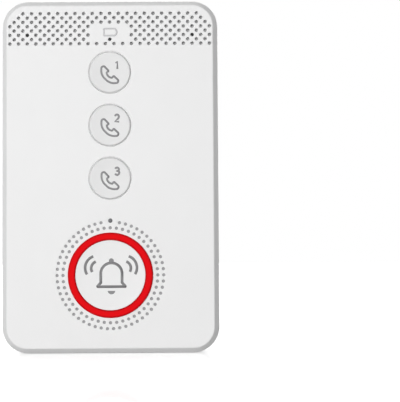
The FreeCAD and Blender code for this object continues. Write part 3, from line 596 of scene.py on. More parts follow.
def settle(obj: bpy.types.Object) -> bpy.types.Object:
    """Turn an object's live modifiers into a plain mesh.

    Args:
        obj: Object with modifiers.

    Returns:
        The same object without modifiers.
    """
    depsgraph = bpy.context.evaluated_depsgraph_get()
    mesh = bpy.data.meshes.new_from_object(obj.evaluated_get(depsgraph), depsgraph=depsgraph)
    obj.modifiers.clear()
    old = obj.data
    obj.data = mesh
    bpy.data.meshes.remove(old)
    return obj


def soften(obj: bpy.types.Object, width: float = 0.0, limit_deg: float = 35.0, segments: int = 3) -> bpy.types.Object:
    """Round an object's sharp edges and smooth its shading.

    Args:
        obj: Object to round.
        width: Width of the rounding in millimetres; nothing is rounded at 0.
        limit_deg: Edges sharper than this are rounded, or stay sharp where nothing is rounded.
        segments: Steps of the rounding.

    Returns:
        The same object as a plain mesh.
    """
    obj.data.shade_smooth()
    if width > 0:
        bevel = obj.modifiers.new("soft_edges", "BEVEL")
        bevel.width = width * MM
        bevel.segments = segments
        bevel.limit_method = "ANGLE"
        bevel.angle_limit = math.radians(limit_deg)
        bevel.use_clamp_overlap = True
    else:
        obj.data.set_sharp_from_angle(angle=math.radians(limit_deg))
    normals = obj.modifiers.new("weighted_normals", "WEIGHTED_NORMAL")
    normals.keep_sharp = True
    normals.weight = 60
    return settle(obj)


def circle(radius: float, place: Flat, grade: Grade = Grade.MEDIUM) -> list[Flat]:
    """Points (x, z) of a circle.

    Args:
        radius: Radius.
        place: Middle.
        grade: Division.

    Returns:
        The points, counter-clockwise from the right.
    """
    x, z = place
    angles = [2 * math.pi * k / grade.value for k in range(grade.value)]
    return [(x + radius * math.cos(a), z + radius * math.sin(a)) for a in angles]


def rounded(width: float, height: float, radius: float, place: Flat, steps: int = 12) -> list[Flat]:
    """Points of a rectangle with round corners.

    Args:
        width: Width.
        height: Height.
        radius: Corner radius.
        place: Middle.
        steps: Steps on each corner.

    Returns:
        The points, counter-clockwise from the upper right corner.
    """
    x, z = place
    points = []
    for corner in range(4):
        side_x = 1 if corner in (0, 3) else -1
        side_z = 1 if corner in (0, 1) else -1
        centre_x = x + side_x * (width / 2 - radius)
        centre_z = z + side_z * (height / 2 - radius)
        for k in range(steps + 1):
            angle = math.pi / 2 * (corner + k / steps)
            points.append((centre_x + radius * math.cos(angle), centre_z + radius * math.sin(angle)))
    return points


def bend(start: Flat, corner: Flat, end: Flat, steps: int) -> list[Flat]:
    """Points of a soft bend that leaves one line and joins another.

    Args:
        start: Where the bend leaves the first line.
        corner: Where the lines meet.
        end: Where the bend joins the second line.
        steps: Number of steps.

    Returns:
        The points from start to end.
    """
    points = []
    for k in range(steps + 1):
        t = k / steps
        weights = ((1 - t) ** 2, 2 * t * (1 - t), t ** 2)
        points.append(tuple(sum(w * p[axis] for w, p in zip(weights, (start, corner, end))) for axis in (0, 1)))
    return points


def flat_arc(start: Flat, middle: Flat, end: Flat, steps: int = 16) -> list[Flat]:
    """Points of the circular arc through three points.

    Args:
        start: First point.
        middle: A point between.
        end: Last point.
        steps: Number of steps.

    Returns:
        The points from start to end.
    """
    ax, az = start
    bx, bz = middle
    cx, cz = end
    d = 2 * (ax * (bz - cz) + bx * (cz - az) + cx * (az - bz))
    a2, b2, c2 = ax * ax + az * az, bx * bx + bz * bz, cx * cx + cz * cz
    ox = (a2 * (bz - cz) + b2 * (cz - az) + c2 * (az - bz)) / d
    oz = (a2 * (cx - bx) + b2 * (ax - cx) + c2 * (bx - ax)) / d
    radius = math.hypot(ax - ox, az - oz)
    first = math.atan2(az - oz, ax - ox)
    mid = (math.atan2(bz - oz, bx - ox) - first) % (2 * math.pi)
    last = (math.atan2(cz - oz, cx - ox) - first) % (2 * math.pi)
    if mid > last:
        last -= 2 * math.pi
    angles = [first + last * k / steps for k in range(steps + 1)]
    return [(ox + radius * math.cos(a), oz + radius * math.sin(a)) for a in angles]


def moved(points: Sequence[Flat], place: Flat) -> list[Flat]:
    """Flat points shifted to a place."""
    return [(x + place[0], z + place[1]) for x, z in points]


def at_level(points: Sequence[Flat], y: float) -> list[Vector]:
    """Flat points (x, z) put at a level along Y."""
    return [Vector((x, y, z)) for x, z in points]


def loft(rings: Sequence[Sequence[Vector]], closed: bool = False, caps: bool = False) -> bpy.types.Mesh:
    """Skin through rings of equal length.

    Args:
        rings: Rings of points in millimetres.
        closed: Joins the last ring to the first.
        caps: Closes the first and the last ring with a face.

    Returns:
        The mesh, with its faces turned outwards.
    """
    count = len(rings[0])
    points = [point for ring in rings for point in ring]
    faces = []
    for r in range(len(rings) if closed else len(rings) - 1):
        low = r * count
        high = (r + 1) % len(rings) * count
        faces += [(low + k, low + (k + 1) % count, high + (k + 1) % count, high + k) for k in range(count)]
    if caps:
        faces += [tuple(range(count)), tuple(range(len(points) - count, len(points)))]
    mesh = mesh_of(points, faces)
    tidy_normals(mesh)
    return mesh


def turned(profile: Sequence[Flat], place: Flat, grade: Grade = Grade.LARGE) -> bpy.types.Mesh:
    """Form turned about the Y axis through a place.

    Args:
        profile: Points (radius, y); a first or last radius of 0 is a pole.
        place: Place (x, z) of the axis.
        grade: Division of the circle.

    Returns:
        The mesh, with poles closed and faces turned outwards.
    """
    rings = [at_level(circle(radius, place, grade), y) for radius, y in profile]
    return loft(rings, closed=profile[0][0] > 0 and profile[-1][0] > 0)


def prism(points: Sequence[Flat], y0: float, y1: float) -> bpy.types.Mesh:
    """Closed prism between two levels along Y."""
    return loft([at_level(points, y) for y in (y0, y1)], caps=True)


def block(low: Place, high: Place) -> bpy.types.Mesh:
    """Box between two corners in millimetres."""
    corners = [(low[0], low[2]), (high[0], low[2]), (high[0], high[2]), (low[0], high[2])]
    return prism(corners, low[1], high[1])


def carve(obj: bpy.types.Object, cutters: Sequence[bpy.types.Mesh]) -> bpy.types.Object:
    """Cut closed meshes out of an object.

    Args:
        obj: Object to cut.
        cutters: Closed meshes.

    Returns:
        The same object as a plain mesh.
    """
    tools = [piece("cutter_%d" % number, mesh) for number, mesh in enumerate(cutters)]
    for tool in tools:
        cut = obj.modifiers.new(tool.name, "BOOLEAN")
        cut.object = tool
        cut.operation = "DIFFERENCE"
        cut.solver = "EXACT"
    settle(obj)
    for tool in tools:
        bpy.data.objects.remove(tool)
    return obj


class GeometryTree(NodeTree):
    """Geometry Nodes tree with named inputs that is run once and applied."""

    def __init__(self, name: str) -> None:
        """Start a tree.

        Args:
            name: Name of the tree.
        """
        super().__init__(bpy.data.node_groups.new(name, "GeometryNodeTree"))
        self.tree.is_modifier = True
        for side in ("INPUT", "OUTPUT"):
            self.tree.interface.new_socket("Geometry", in_out=side, socket_type="NodeSocketGeometry")
        self.start = self.add("NodeGroupInput")
        self.end = self.add("NodeGroupOutput")
        self.values: dict[str, object] = {}

    def given(self, name: str, value: object) -> bpy.types.NodeSocket:
        """Add a named input.

        Args:
            name: Name of the input.
            value: Its value; its type decides the kind of socket.

        Returns:
            The socket that carries it in the tree.
        """
        kinds = {int: "Int", float: "Float", bpy.types.Material: "Material", bpy.types.Object: "Object"}
        kind = next(word for base, word in kinds.items() if isinstance(value, base))
        socket = self.tree.interface.new_socket(name, in_out="INPUT", socket_type="NodeSocket" + kind)
        self.values[socket.identifier] = value
        return self.start.outputs[name]

    def attribute(self, name: str) -> bpy.types.NodeSocket:
        """Number that each point carries under a name."""
        return self.add("GeometryNodeInputNamedAttribute", {"Name": name}, data_type="FLOAT").outputs["Attribute"]

    def join(self, *shapes: bpy.types.NodeSocket) -> bpy.types.NodeSocket:
        """Join geometries.

        Args:
            shapes: The geometries.

        Returns:
            One geometry.
        """
        node = self.add("GeometryNodeJoinGeometry")
        for shape in shapes:
            self.fill(node, {"Geometry": shape})
        return node.outputs["Geometry"]

    def stood_up(self, shape: bpy.types.NodeSocket) -> bpy.types.NodeSocket:
        """Turn a flat drawing up, so that its Y becomes Z and its Z looks out of the front."""
        turn = {"Geometry": shape, "Rotation": (math.radians(90), 0.0, 0.0)}
        return self.add("GeometryNodeTransform", turn).outputs["Geometry"]

    def run(self, obj: bpy.types.Object, result: bpy.types.NodeSocket, finish: bpy.types.Material) -> bpy.types.Object:
        """Finish the tree, run it on an object and keep the result as a plain mesh.

        Args:
            obj: Object to run on.
            result: Geometry that the tree gives.
            finish: Material of the result.

        Returns:
            The same object.
        """
        real = self.add("GeometryNodeRealizeInstances", {"Geometry": result}).outputs["Geometry"]
        coat = {"Geometry": real, "Material": self.given("Finish", finish)}
        self.fill(self.end, {"Geometry": self.add("GeometryNodeSetMaterial", coat).outputs["Geometry"]})
        modifier = obj.modifiers.new(self.tree.name, "NODES")
        modifier.node_group = self.tree
        for identifier, value in self.values.items():
            modifier[identifier] = value
        return settle(obj)


def drawing(name: str, loops: Sequence[Sequence[Flat]], y: float, is_open: bool = False) -> bpy.types.Object:
    """Flat object that holds outlines as loose edges, with Y up and Z out of the face.

    Args:
        name: Name of the object.
        loops: Outlines as points (x, z).
        y: Level of the drawing.
        is_open: Leaves each outline open.

    Returns:
        The object.
    """
    points = []
    edges = []
    for loop in loops:
        first = len(points)
        points += [Vector((x, z, -y)) for x, z in loop]
        edges += [(first + k, first + k + 1) for k in range(len(loop) - 1)]
        if not is_open:
            edges.append((len(points) - 1, first))
    return piece(name, mesh_of(points, [], edges))


def perforated_plate(
    name: str, loops: Sequence[Sequence[Flat]], holes: Sequence[Hole], levels: Flat, finish: bpy.types.Material
) -> bpy.types.Object:
    """Flat wall with large openings and many small round holes.

    Args:
        name: Name of the piece.
        loops: Outline and large openings as points (x, z).
        holes: Place (x, z) and radius of each small hole.
        levels: Outer and inner level along Y.
        finish: Material of the wall.

    Returns:
        The closed wall.
    """
    obj = drawing(name, loops, levels[0])
    with editing(obj.data) as work:
        radius = work.verts.layers.float.new("hole_radius")
        for x, z, r in holes:
            centre = work.verts.new(Vector((x, z, -levels[0])) * MM)
            centre[radius] = r * MM

    tree = GeometryTree(name + "_wall")
    thickness = tree.given("Wall Thickness", abs(levels[1] - levels[0]) * MM)
    steps = tree.given("Hole Steps", Grade.SMALL.value)
    hole_radius = tree.attribute("hole_radius")
    is_hole = tree.add("FunctionNodeCompare", {"A": hole_radius, "B": 0.0}, operation="GREATER_THAN")
    parts = tree.add("GeometryNodeSeparateGeometry", {
        "Geometry": tree.start.outputs["Geometry"], "Selection": is_hole.outputs["Result"],
    })
    outline = tree.add("GeometryNodeMeshToCurve", {"Mesh": parts.outputs["Inverted"]})
    centres = tree.add("GeometryNodeMeshToPoints", {"Mesh": parts.outputs["Selection"]})
    rim = tree.add("GeometryNodeCurvePrimitiveCircle", {"Resolution": steps, "Radius": 1.0})
    rims = tree.add("GeometryNodeInstanceOnPoints", {
        "Points": centres.outputs["Points"], "Instance": rim.outputs["Curve"], "Scale": hole_radius,
    })
    real_rims = tree.add("GeometryNodeRealizeInstances", {"Geometry": rims.outputs["Instances"]})
    curves = tree.join(outline.outputs["Curve"], real_rims.outputs["Geometry"])
    sheet = tree.add("GeometryNodeFillCurve", {"Curve": curves})
    level = tree.add("GeometryNodeTransform", {
        "Geometry": sheet.outputs["Mesh"], "Translation": (0.0, 0.0, -levels[0] * MM),
    })
    inwards = -1.0 if levels[1] > levels[0] else 1.0
    depth = tree.add("ShaderNodeMath", {0: thickness, 1: inwards}, operation="MULTIPLY")
    direction = tree.add("ShaderNodeCombineXYZ", {"Z": depth.outputs["Value"]})
    body = tree.add("GeometryNodeExtrudeMesh", {
        "Mesh": level.outputs["Geometry"], "Offset": direction.outputs["Vector"],
        "Offset Scale": 1.0, "Individual": False,
    })
    both = tree.join(level.outputs["Geometry"], body.outputs["Mesh"])
    closed = tree.add("GeometryNodeMergeByDistance", {"Geometry": both, "Distance": MERGE})
    return tree.run(obj, tree.stood_up(closed.outputs["Geometry"]), finish)


@dataclass(frozen=True)
class Pen:
    """Printed line: its width and height, its finish, the radius of its corners and whether paths stay open."""

    width: float
    height: float
    finish: bpy.types.Material
    corner: float = 0.0
    is_open: bool = False


def stroke(name: str, paths: Sequence[Sequence[Flat]], pen: Pen, y: float = 0.0) -> bpy.types.Object:
    """Printed line of constant width along flat paths.

    Args:
        name: Name of the piece.
        paths: Middle lines as points (x, z).
        pen: The line.
        y: Level of the print's middle.

    Returns:
        The line as a plain mesh.
    """
    obj = drawing(name, paths, y, pen.is_open)
    tree = GeometryTree(name + "_line")
    width = tree.given("Line Width", pen.width * MM)
    height = tree.given("Line Height", pen.height * MM)
    corner = tree.given("Corner Radius", pen.corner * MM)
    curve = tree.add("GeometryNodeMeshToCurve", {"Mesh": tree.start.outputs["Geometry"]})
    bent = tree.add("GeometryNodeFilletCurve", {
        "Curve": curve.outputs["Curve"], "Radius": corner, "Count": 4, "Limit Radius": True,
    }, mode="POLY")
    upright = tree.add("GeometryNodeSetCurveNormal", {"Curve": bent.outputs["Curve"]}, mode="Z_UP")
    section = tree.add("GeometryNodeCurvePrimitiveQuadrilateral", {"Width": width, "Height": height})
    body = tree.add("GeometryNodeCurveToMesh", {
        "Curve": upright.outputs["Curve"], "Profile Curve": section.outputs["Curve"], "Fill Caps": True,
    })
    return tree.run(obj, tree.stood_up(body.outputs["Mesh"]), pen.finish)


def repeated(
    name: str, part: bpy.types.Mesh, places: Sequence[Place], finish: bpy.types.Material, turns: Sequence[float] = ()
) -> bpy.types.Object:
    """One piece that holds a part at several places.

    Args:
        name: Name of the piece.
        part: Mesh of one part, made about the origin.
        places: Places in millimetres.
        finish: Material of the parts.
        turns: Turn of each part about Y in radians.

    Returns:
        The piece as a plain mesh.
    """
    obj = piece(name, mesh_of([Vector(place) for place in places], []))
    angles = obj.data.attributes.new("turn", "FLOAT", "POINT")
    for k, angle in enumerate(turns):
        angles.data[k].value = angle
    pattern = piece(name + "_pattern", part)
    tree = GeometryTree(name + "_repeat")
    source = tree.add("GeometryNodeObjectInfo", {"Object": tree.given("Part", pattern)})
    points = tree.add("GeometryNodeMeshToPoints", {"Mesh": tree.start.outputs["Geometry"]})
    rotation = tree.add("ShaderNodeCombineXYZ", {"Y": tree.attribute("turn")})
    copies = tree.add("GeometryNodeInstanceOnPoints", {
        "Points": points.outputs["Points"],
        "Instance": source.outputs["Geometry"],
        "Rotation": rotation.outputs["Vector"],
    })
    tree.run(obj, copies.outputs["Instances"], finish)
    bpy.data.objects.remove(pattern)
    return obj


def placed(obj: bpy.types.Object, body: str, slot: str, *nodes: str) -> bpy.types.Object:
    """Put a finished piece on its body and report it.

    Args:
        obj: The finished piece.
        body: Body that it rides on.
        slot: Material slot of the record; not used.
        nodes: CAD nodes that it stands for.

    Returns:
        The same piece.
    """
    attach(obj, body)
    if nodes:
        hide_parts(*nodes)
    LOG.info("%s rides on %s and stands for %s", obj.name, body, nodes or "nothing")
    return obj


def smoothed_copy(node: str, width: float, material: bpy.types.Material) -> bpy.types.Object:
    """Copy of a CAD node with merged corners, soft edges and a finish.

    Args:
        node: Name of the CAD node.
        width: Width of the soft edges in millimetres.
        material: Finish of the copy.

    Returns:
        The copy, which stands for the node.
    """
    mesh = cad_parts[node].data.copy()
    with editing(mesh) as work:
        bmesh.ops.remove_doubles(work, verts=work.verts, dist=MERGE)
        bmesh.ops.dissolve_limit(work, angle_limit=math.radians(1.0), verts=work.verts, edges=work.edges)
    return soften(piece("dressed_" + node, mesh, material), width)


def drape(obj: bpy.types.Object, level: Callable[[float], float], z: float) -> None:
    """Lay a flat print on a turned surface.

    Args:
        obj: Print whose middle lies at y 0.
        level: Level y of the surface at a distance from its axis, in millimetres.
        z: Height of the axis.
    """
    for vertex in obj.data.vertices:
        distance = math.hypot(vertex.co.x / MM, vertex.co.z / MM - z)
        vertex.co.y += level(distance) * MM


def turned_piece(
    name: str, profile: Sequence[Flat], place: Flat, finish: bpy.types.Material,
    grade: Grade = Grade.LARGE, sharp_deg: float = 50.0,
) -> bpy.types.Object:
    """Smoothly shaded piece turned about the Y axis.

    Args:
        name: Name of the piece.
        profile: Points (radius, y) as for turned.
        place: Place (x, z) of the axis.
        finish: Material of the piece.
        grade: Division of the circle.
        sharp_deg: Edges sharper than this stay sharp.

    Returns:
        The piece.
    """
    return soften(piece(name, turned(profile, place, grade), finish), 0.0, sharp_deg)


@dataclass
class Casing:
    """The two white mouldings, with their perforations, side openings and parting line."""

    finishes: Finishes
    corner_r: float = 11.0
    corner_steps: int = 30
    wall: float = 2.0
    bevel: float = 2.1
    bevel_depth: float = 2.5
    rear_chamfer: float = 1.5
    rear_clearance: float = 0.1
    crease: float = 0.4
    groove: float = 0.25
    edge_round: float = 0.14
    edge_limit_deg: float = 32.0
    tolerance: float = 0.05
    hole_pitch: float = 3.7
    hole_r: float = 0.77
    top_row_z: float = 144.5
    holes_in_row: tuple[int, ...] = (21, 22, 23, 24, 23, 24, 23, 24)
    gap_rows: tuple[int, ...] = (3, 4, 5, 6)
    gap_half_width: float = 9.0
    mic_row: int = 5
    mic_column: float = 9.5
    mic_hole_r: float = 0.8
    battery_light_row: int = 6
    battery_light_hole_r: float = 0.75
    alarm_light_r: float = 0.9
    alarm_light_hole_r: float = 0.95
    key_z: tuple[float, ...] = (119.2, 96.6, 74.0)
    key_hole_r: float = 8.99
    key_seat_r: float = 9.65
    key_seat_lip: float = 0.36
    key_seat_fall: float = 0.42
    ring_hole_r: float = 18.07
    inner_dots: tuple[int, float] = (48, 20.05)
    outer_dots: tuple[int, float] = (54, 22.55)
    dot_r: float = 0.69
    dot_depth: float = 0.6
    dot_floor_margin: float = 0.8
    dot_floor_thickness: float = 0.2
    keyhole_x: float = 27.0
    keyhole_z: float = 106.0
    keyhole_r: float = 4.0
    keyhole_slot_r: float = 1.9
    keyhole_slot_length: float = 8.0
    keyhole_steps: tuple[int, int] = (40, 16)
    screw_x: float = 38.5
    screw_z: tuple[float, ...] = (8.5, 126.0)
    screw_seat_y: float = 6.5
    screw_hole_r: float = 1.35
    well_r: float = 2.8
    well_outer_r: float = 4.1
    well_sink: float = 0.3
    well_foot: float = 0.1
    cover_size: tuple[float, float, float] = (36.0, 26.0, 3.0)
    cover_z: float = 33.0
    cover_depth: float = 1.2
    cover_ledge: float = 2.6
    cover_lap: float = 0.6
    cover_sink: float = 0.4
    socket_mouth: Place = (3.7, 9.5, 1.84)
    knob_slot: Place = (2.1, 4.4, 0.3)
    knob_dish: Place = (3.9, 7.0, 0.9)
    knob_dish_depth: float = 0.6
    knob_half_travel: float = 1.0
    side_cut_depth: float = 3.0
    overcut: float = 1.0

    def __post_init__(self) -> None:
        """Read the casing's size and levels from the frame."""
        low, high = node_box("front_shell")
        self.width = high.x - low.x
        self.height = high.z - low.z
        self.front_y = low.y
        self.parting_y = node_box("rear_shell")[0].y
        self.back_y = node_box("rear_shell")[1].y
        row_pitch = self.hole_pitch / 2
        self.mic_z = self.top_row_z - self.mic_row * row_pitch
        self.mic_x = self.mic_column * self.hole_pitch
        self.battery_light_z = self.top_row_z - self.battery_light_row * row_pitch
        self.alarm_light_z = node_box("alarm_light_pipe")[0].z + self.alarm_light_r
        self.alarm_z = node_middle("alarm_ring")[1]

    def outline(self, inset: float) -> list[Flat]:
        """The casing's outline, drawn in by an inset.

        Args:
            inset: The inset.

        Returns:
            The points (x, z).
        """
        width = self.width - 2 * inset
        height = self.height - 2 * inset
        return rounded(width, height, self.corner_r - inset, (0.0, self.height / 2), self.corner_steps)

    def rings(self, steps: Sequence[Flat]) -> list[list[Vector]]:
        """Rings on the casing's outline from pairs of inset and level."""
        return [at_level(self.outline(inset), y) for inset, y in steps]

    def inset_of(self, point: Vector) -> float:
        """How far inside the casing's outline a point of a mesh lies.

        Args:
            point: The point, in metres.

        Returns:
            The distance in millimetres.
        """
        past_x = abs(point.x / MM) - (self.width / 2 - self.corner_r)
        past_z = abs(point.z / MM - self.height / 2) - (self.height / 2 - self.corner_r)
        if past_x > 0 and past_z > 0:
            return self.corner_r - math.hypot(past_x, past_z)
        return self.corner_r - max(past_x, past_z)

    def sound_holes(self) -> list[Hole]:
        """Sound holes and the two microphone holes among them.

        Returns:
            Place and radius of each.
        """
        holes = []
        for row, count in enumerate(self.holes_in_row):
            z = self.top_row_z - row * self.hole_pitch / 2
            for k in range(count):
                x = (k - (count - 1) / 2) * self.hole_pitch
                if row in self.gap_rows and abs(x) < self.gap_half_width:
                    continue
                is_mic = row == self.mic_row and abs(abs(x) - self.mic_x) < self.hole_pitch / 4
                holes.append((x, z, self.mic_hole_r if is_mic else self.hole_r))
        return holes

    def light_dots(self) -> list[Hole]:
        """Light dots in two rings; the outer ring is open at twelve o'clock.

        Returns:
            Place and radius of each.
        """
        count, radius = self.inner_dots
        places = [(radius, 2 * math.pi * k / count) for k in range(count)]
        count, radius = self.outer_dots
        places += [(radius, 2 * math.pi * (k + 0.5) / count) for k in range(1, count - 1)]
        return [(r * math.sin(a), self.alarm_z + r * math.cos(a), self.dot_r) for r, a in places]

    def keyhole(self, x: float) -> list[Flat]:
        """Outline of a keyhole: a round entry with a narrow slot rising from it.

        Args:
            x: Place of the keyhole.

        Returns:
            The points (x, z).
        """
        neck = math.asin(self.keyhole_slot_r / self.keyhole_r)
        round_steps, slot_steps = self.keyhole_steps
        top_z = self.keyhole_z + self.keyhole_slot_length
        points = []
        for k in range(round_steps + 1):
            angle = neck + (2 * math.pi - 2 * neck) * k / round_steps
            points.append((x + self.keyhole_r * math.sin(angle), self.keyhole_z + self.keyhole_r * math.cos(angle)))
        for k in range(slot_steps + 1):
            angle = math.pi - math.pi * k / slot_steps
            points.append((x + self.keyhole_slot_r * math.cos(angle), top_z + self.keyhole_slot_r * math.sin(angle)))
        return points

    def side_bar(self, size: Place, y: float, z: float, depth: float) -> bpy.types.Mesh:
        """Rounded bar that cuts into the left side.

        Args:
            size: Size along Y, size along Z and corner radius.
            y: Middle along Y.
            z: Middle along Z.
            depth: Depth of the cut.

        Returns:
            The closed bar.
        """
        side = -self.width / 2
        flat = rounded(*size, (y, z), 8)
        return loft([[Vector((x, py, pz)) for py, pz in flat] for x in (side - self.overcut, side + depth)], caps=True)

    def side_cutters(self) -> list[bpy.types.Mesh]:
        """Cutters for the charging socket's mouth and the power knob's slot and finger dish.

        Returns:
            The cutters.
        """
        socket_y, socket_z = node_middle("usb_socket")
        knob_y, knob_z = node_middle("power_slider")
        knob_z += self.knob_half_travel
        return [
            self.side_bar(self.socket_mouth, socket_y, socket_z, self.side_cut_depth),
            self.side_bar(self.knob_slot, knob_y, knob_z, self.side_cut_depth),
            self.side_bar(self.knob_dish, knob_y, knob_z, self.knob_dish_depth),
        ]

    def soft_bevel(self, bevel: float, depth: float, face_y: float, inward: int) -> list[Flat]:
        """Steps from a face over its bevel to the side wall, with both bends softened.

        Args:
            bevel: Width of the bevel.
            depth: Depth of the bevel.
            face_y: Level of the face.
            inward: Direction of the depth, 1 from the front face and -1 from the back face.

        Returns:
            Pairs of inset and level.
        """
        slope = math.hypot(bevel, depth)
        run = self.crease * bevel / slope
        fall = inward * self.crease * depth / slope
        knee_y = face_y + inward * depth
        steps = bend((bevel + self.crease, face_y), (bevel, face_y), (bevel - run, face_y + fall), 5)
        steps += bend((run, knee_y - fall), (0.0, knee_y), (0.0, knee_y + inward * self.crease), 5)
        return steps

    def moulding(
        self, name: str, plate: bpy.types.Object, steps: Sequence[Flat], finish: bpy.types.Material
    ) -> bpy.types.Object:
        """Join a face plate and the skin round it into one closed moulding.

        Args:
            name: Name of the moulding.
            plate: Closed face plate; it is used up.
            steps: Pairs of inset and level, from the plate's outer edge to its inner edge.
            finish: Material of the moulding.

        Returns:
            The moulding.
        """
        inset = steps[0][0] + self.tolerance
        with editing(plate.data) as work:
            sides = [face for face in work.faces if abs(face.normal.y) < 0.5]
            outer = [face for face in sides if all(self.inset_of(v.co) < inset for v in face.verts)]
            bmesh.ops.delete(work, geom=outer, context="FACES")
        mesh = joined([plate.data, loft(self.rings(steps))])
        bpy.data.objects.remove(plate)
        return piece(name, mesh, finish)

    def front(self) -> bpy.types.Object:
        """Front moulding with its flat bevel, sound holes, light dots and key openings.

        Returns:
            The moulding.
        """
        inner_y = self.front_y + self.wall
        rim = self.bevel + self.crease
        loops = [self.outline(rim)]
        loops += [circle(self.key_seat_r, (0.0, z)) for z in self.key_z]
        loops.append(circle(self.ring_hole_r, (0.0, self.alarm_z), Grade.LARGE))
        holes = self.sound_holes() + self.light_dots()
        holes.append((0.0, self.battery_light_z, self.battery_light_hole_r))
        holes.append((0.0, self.alarm_light_z, self.alarm_light_hole_r))
        finish = self.finishes["casing_plastic"]
        plate = perforated_plate("front_face", loops, holes, (self.front_y, inner_y), finish)
        steps = self.soft_bevel(self.bevel, self.bevel_depth, self.front_y, 1) + [
            (0.0, self.parting_y - self.groove),
            (self.groove, self.parting_y),
            (self.wall, self.parting_y),
            (self.wall, inner_y + self.crease),
            (rim, inner_y),
        ]
        shell = self.moulding("front_moulding", plate, steps, finish)
        carve(shell, self.side_cutters())
        return soften(shell, self.edge_round, self.edge_limit_deg, 2)

    def ribs(self) -> bpy.types.Object:
        """Bosses, posts and key guides behind the face, taken over from the CAD moulding.

        Returns:
            The ribs.
        """
        work = bmesh.new()
        work.from_mesh(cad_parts["front_shell"].data)
        behind = (self.front_y + self.wall + 0.01) * MM
        outside = []
        for face in work.faces:
            insets = [self.inset_of(v.co) for v in face.verts]
            is_inside = min(insets) > self.wall - self.tolerance and max(insets) > self.wall + self.tolerance
            if not is_inside or max(v.co.y for v in face.verts) < behind:
                outside.append(face)
        bmesh.ops.delete(work, geom=outside, context="FACES")
        bmesh.ops.remove_doubles(work, verts=work.verts, dist=MERGE)
        mesh = bpy.data.meshes.new("ribs")
        work.to_mesh(mesh)
        work.free()
        return piece("moulding_ribs", mesh, self.finishes["casing_plastic"])

    def key_seats(self) -> bpy.types.Object:
        """Softened edges of the three call-key openings.

        Returns:
            The seats.
        """
        back_y = self.front_y + self.wall
        profile = [
            (self.key_seat_r, self.front_y),
            (self.key_hole_r + self.key_seat_lip, self.front_y),
            (self.key_hole_r, self.front_y + self.key_seat_fall),
            (self.key_hole_r, back_y),
            (self.key_seat_r, back_y),
        ]
        seats = joined([turned(profile, (0.0, z)) for z in self.key_z])
        return soften(piece("call_key_seats", seats, self.finishes["casing_plastic"]), 0.0, 40.0)

    def dot_floor(self) -> bpy.types.Object:
        """Thin floor that closes the light dots; its dark grey colour is painted shade seen through the dot holes.

        Returns:
            The floor.
        """
        top_y = self.front_y + self.dot_depth
        low_y = top_y + self.dot_floor_thickness
        inner = self.inner_dots[1] - self.dot_floor_margin
        outer = self.outer_dots[1] + self.dot_floor_margin
        profile = [(inner, top_y), (outer, top_y), (outer, low_y), (inner, low_y)]
        finish = self.finishes["dot_floor_painted_shade"]
        return turned_piece("light_dot_floor", profile, (0.0, self.alarm_z), finish, Grade.MEDIUM, 35.0)

    def rear(self) -> bpy.types.Object:
        """Rear moulding with its keyholes, screw holes and the opening of the service cover.

        Returns:
            The moulding.
        """
        inner_y = self.back_y - self.wall
        rim = self.rear_chamfer + self.crease
        inside = self.wall - self.rear_clearance
        loops = [self.outline(rim)]
        loops += [self.keyhole(side * self.keyhole_x) for side in (-1, 1)]
        loops += [circle(self.well_r, place, Grade.SMALL) for place in self.screw_places()]
        loops.append(rounded(*self.cover_size, (0.0, self.cover_z)))
        finish = self.finishes["rear_plastic"]
        plate = perforated_plate("rear_face", loops, [], (self.back_y, inner_y), finish)
        steps = self.soft_bevel(self.rear_chamfer, self.rear_chamfer, self.back_y, -1) + [
            (0.0, self.parting_y + self.groove),
            (self.groove, self.parting_y),
            (inside, self.parting_y),
            (inside, inner_y - self.crease),
            (rim, inner_y),
        ]
        return soften(self.moulding("rear_moulding", plate, steps, finish), self.edge_round, self.edge_limit_deg, 2)

    def cover_pocket(self) -> bpy.types.Object:
        """Walls and ledge of the service cover's pocket.

        Returns:
            The pocket.
        """
        width, height, radius = self.cover_size
        lip_y = self.back_y - self.cover_sink
        ledge_y = self.back_y - self.cover_depth
        inner_y = self.back_y - self.wall - self.cover_sink
        steps = (
            (-self.cover_lap, lip_y), (0.0, lip_y), (0.0, ledge_y),
            (self.cover_ledge, ledge_y), (self.cover_ledge, inner_y), (-self.cover_lap, inner_y),
        )
        tray = []
        for inset, y in steps:
            flat = rounded(width - 2 * inset, height - 2 * inset, radius - inset, (0.0, self.cover_z))
            tray.append(at_level(flat, y))
        return soften(piece("cover_pocket", loft(tray, closed=True), self.finishes["rear_plastic"]))

    def screw_places(self) -> list[Flat]:
        """Places (x, z) of the case screws."""
        return [(side * self.screw_x, z) for side in (-1, 1) for z in self.screw_z]

    def screw_wells(self) -> bpy.types.Object:
        """Round wells in which the case screws sit.

        Returns:
            The wells.
        """
        top_y = self.back_y - self.well_sink
        foot_y = self.parting_y + self.well_foot
        profile = [
            (self.well_r, top_y),
            (self.well_outer_r, top_y),
            (self.well_outer_r, foot_y),
            (self.screw_hole_r, foot_y),
            (self.screw_hole_r, self.screw_seat_y),
            (self.well_r, self.screw_seat_y),
        ]
        places = [(x, 0.0, z) for x, z in self.screw_places()]
        well = turned(profile, (0.0, 0.0), Grade.SMALL)
        return soften(repeated("screw_wells", well, places, self.finishes["rear_plastic"]))

    def build(self) -> None:
        """Build and place the mouldings."""
        placed(self.front(), HOUSING, "casing_white", "front_shell")
        placed(self.ribs(), HOUSING, "casing_white")
        placed(self.key_seats(), HOUSING, "casing_white")
        placed(self.dot_floor(), HOUSING, "diffuser_pale")
        rear = self.rear()
        placed(self.cover_pocket(), HOUSING, "casing_white")
        placed(rear, HOUSING, "casing_white", "rear_shell")
        placed(self.screw_wells(), HOUSING, "casing_white")


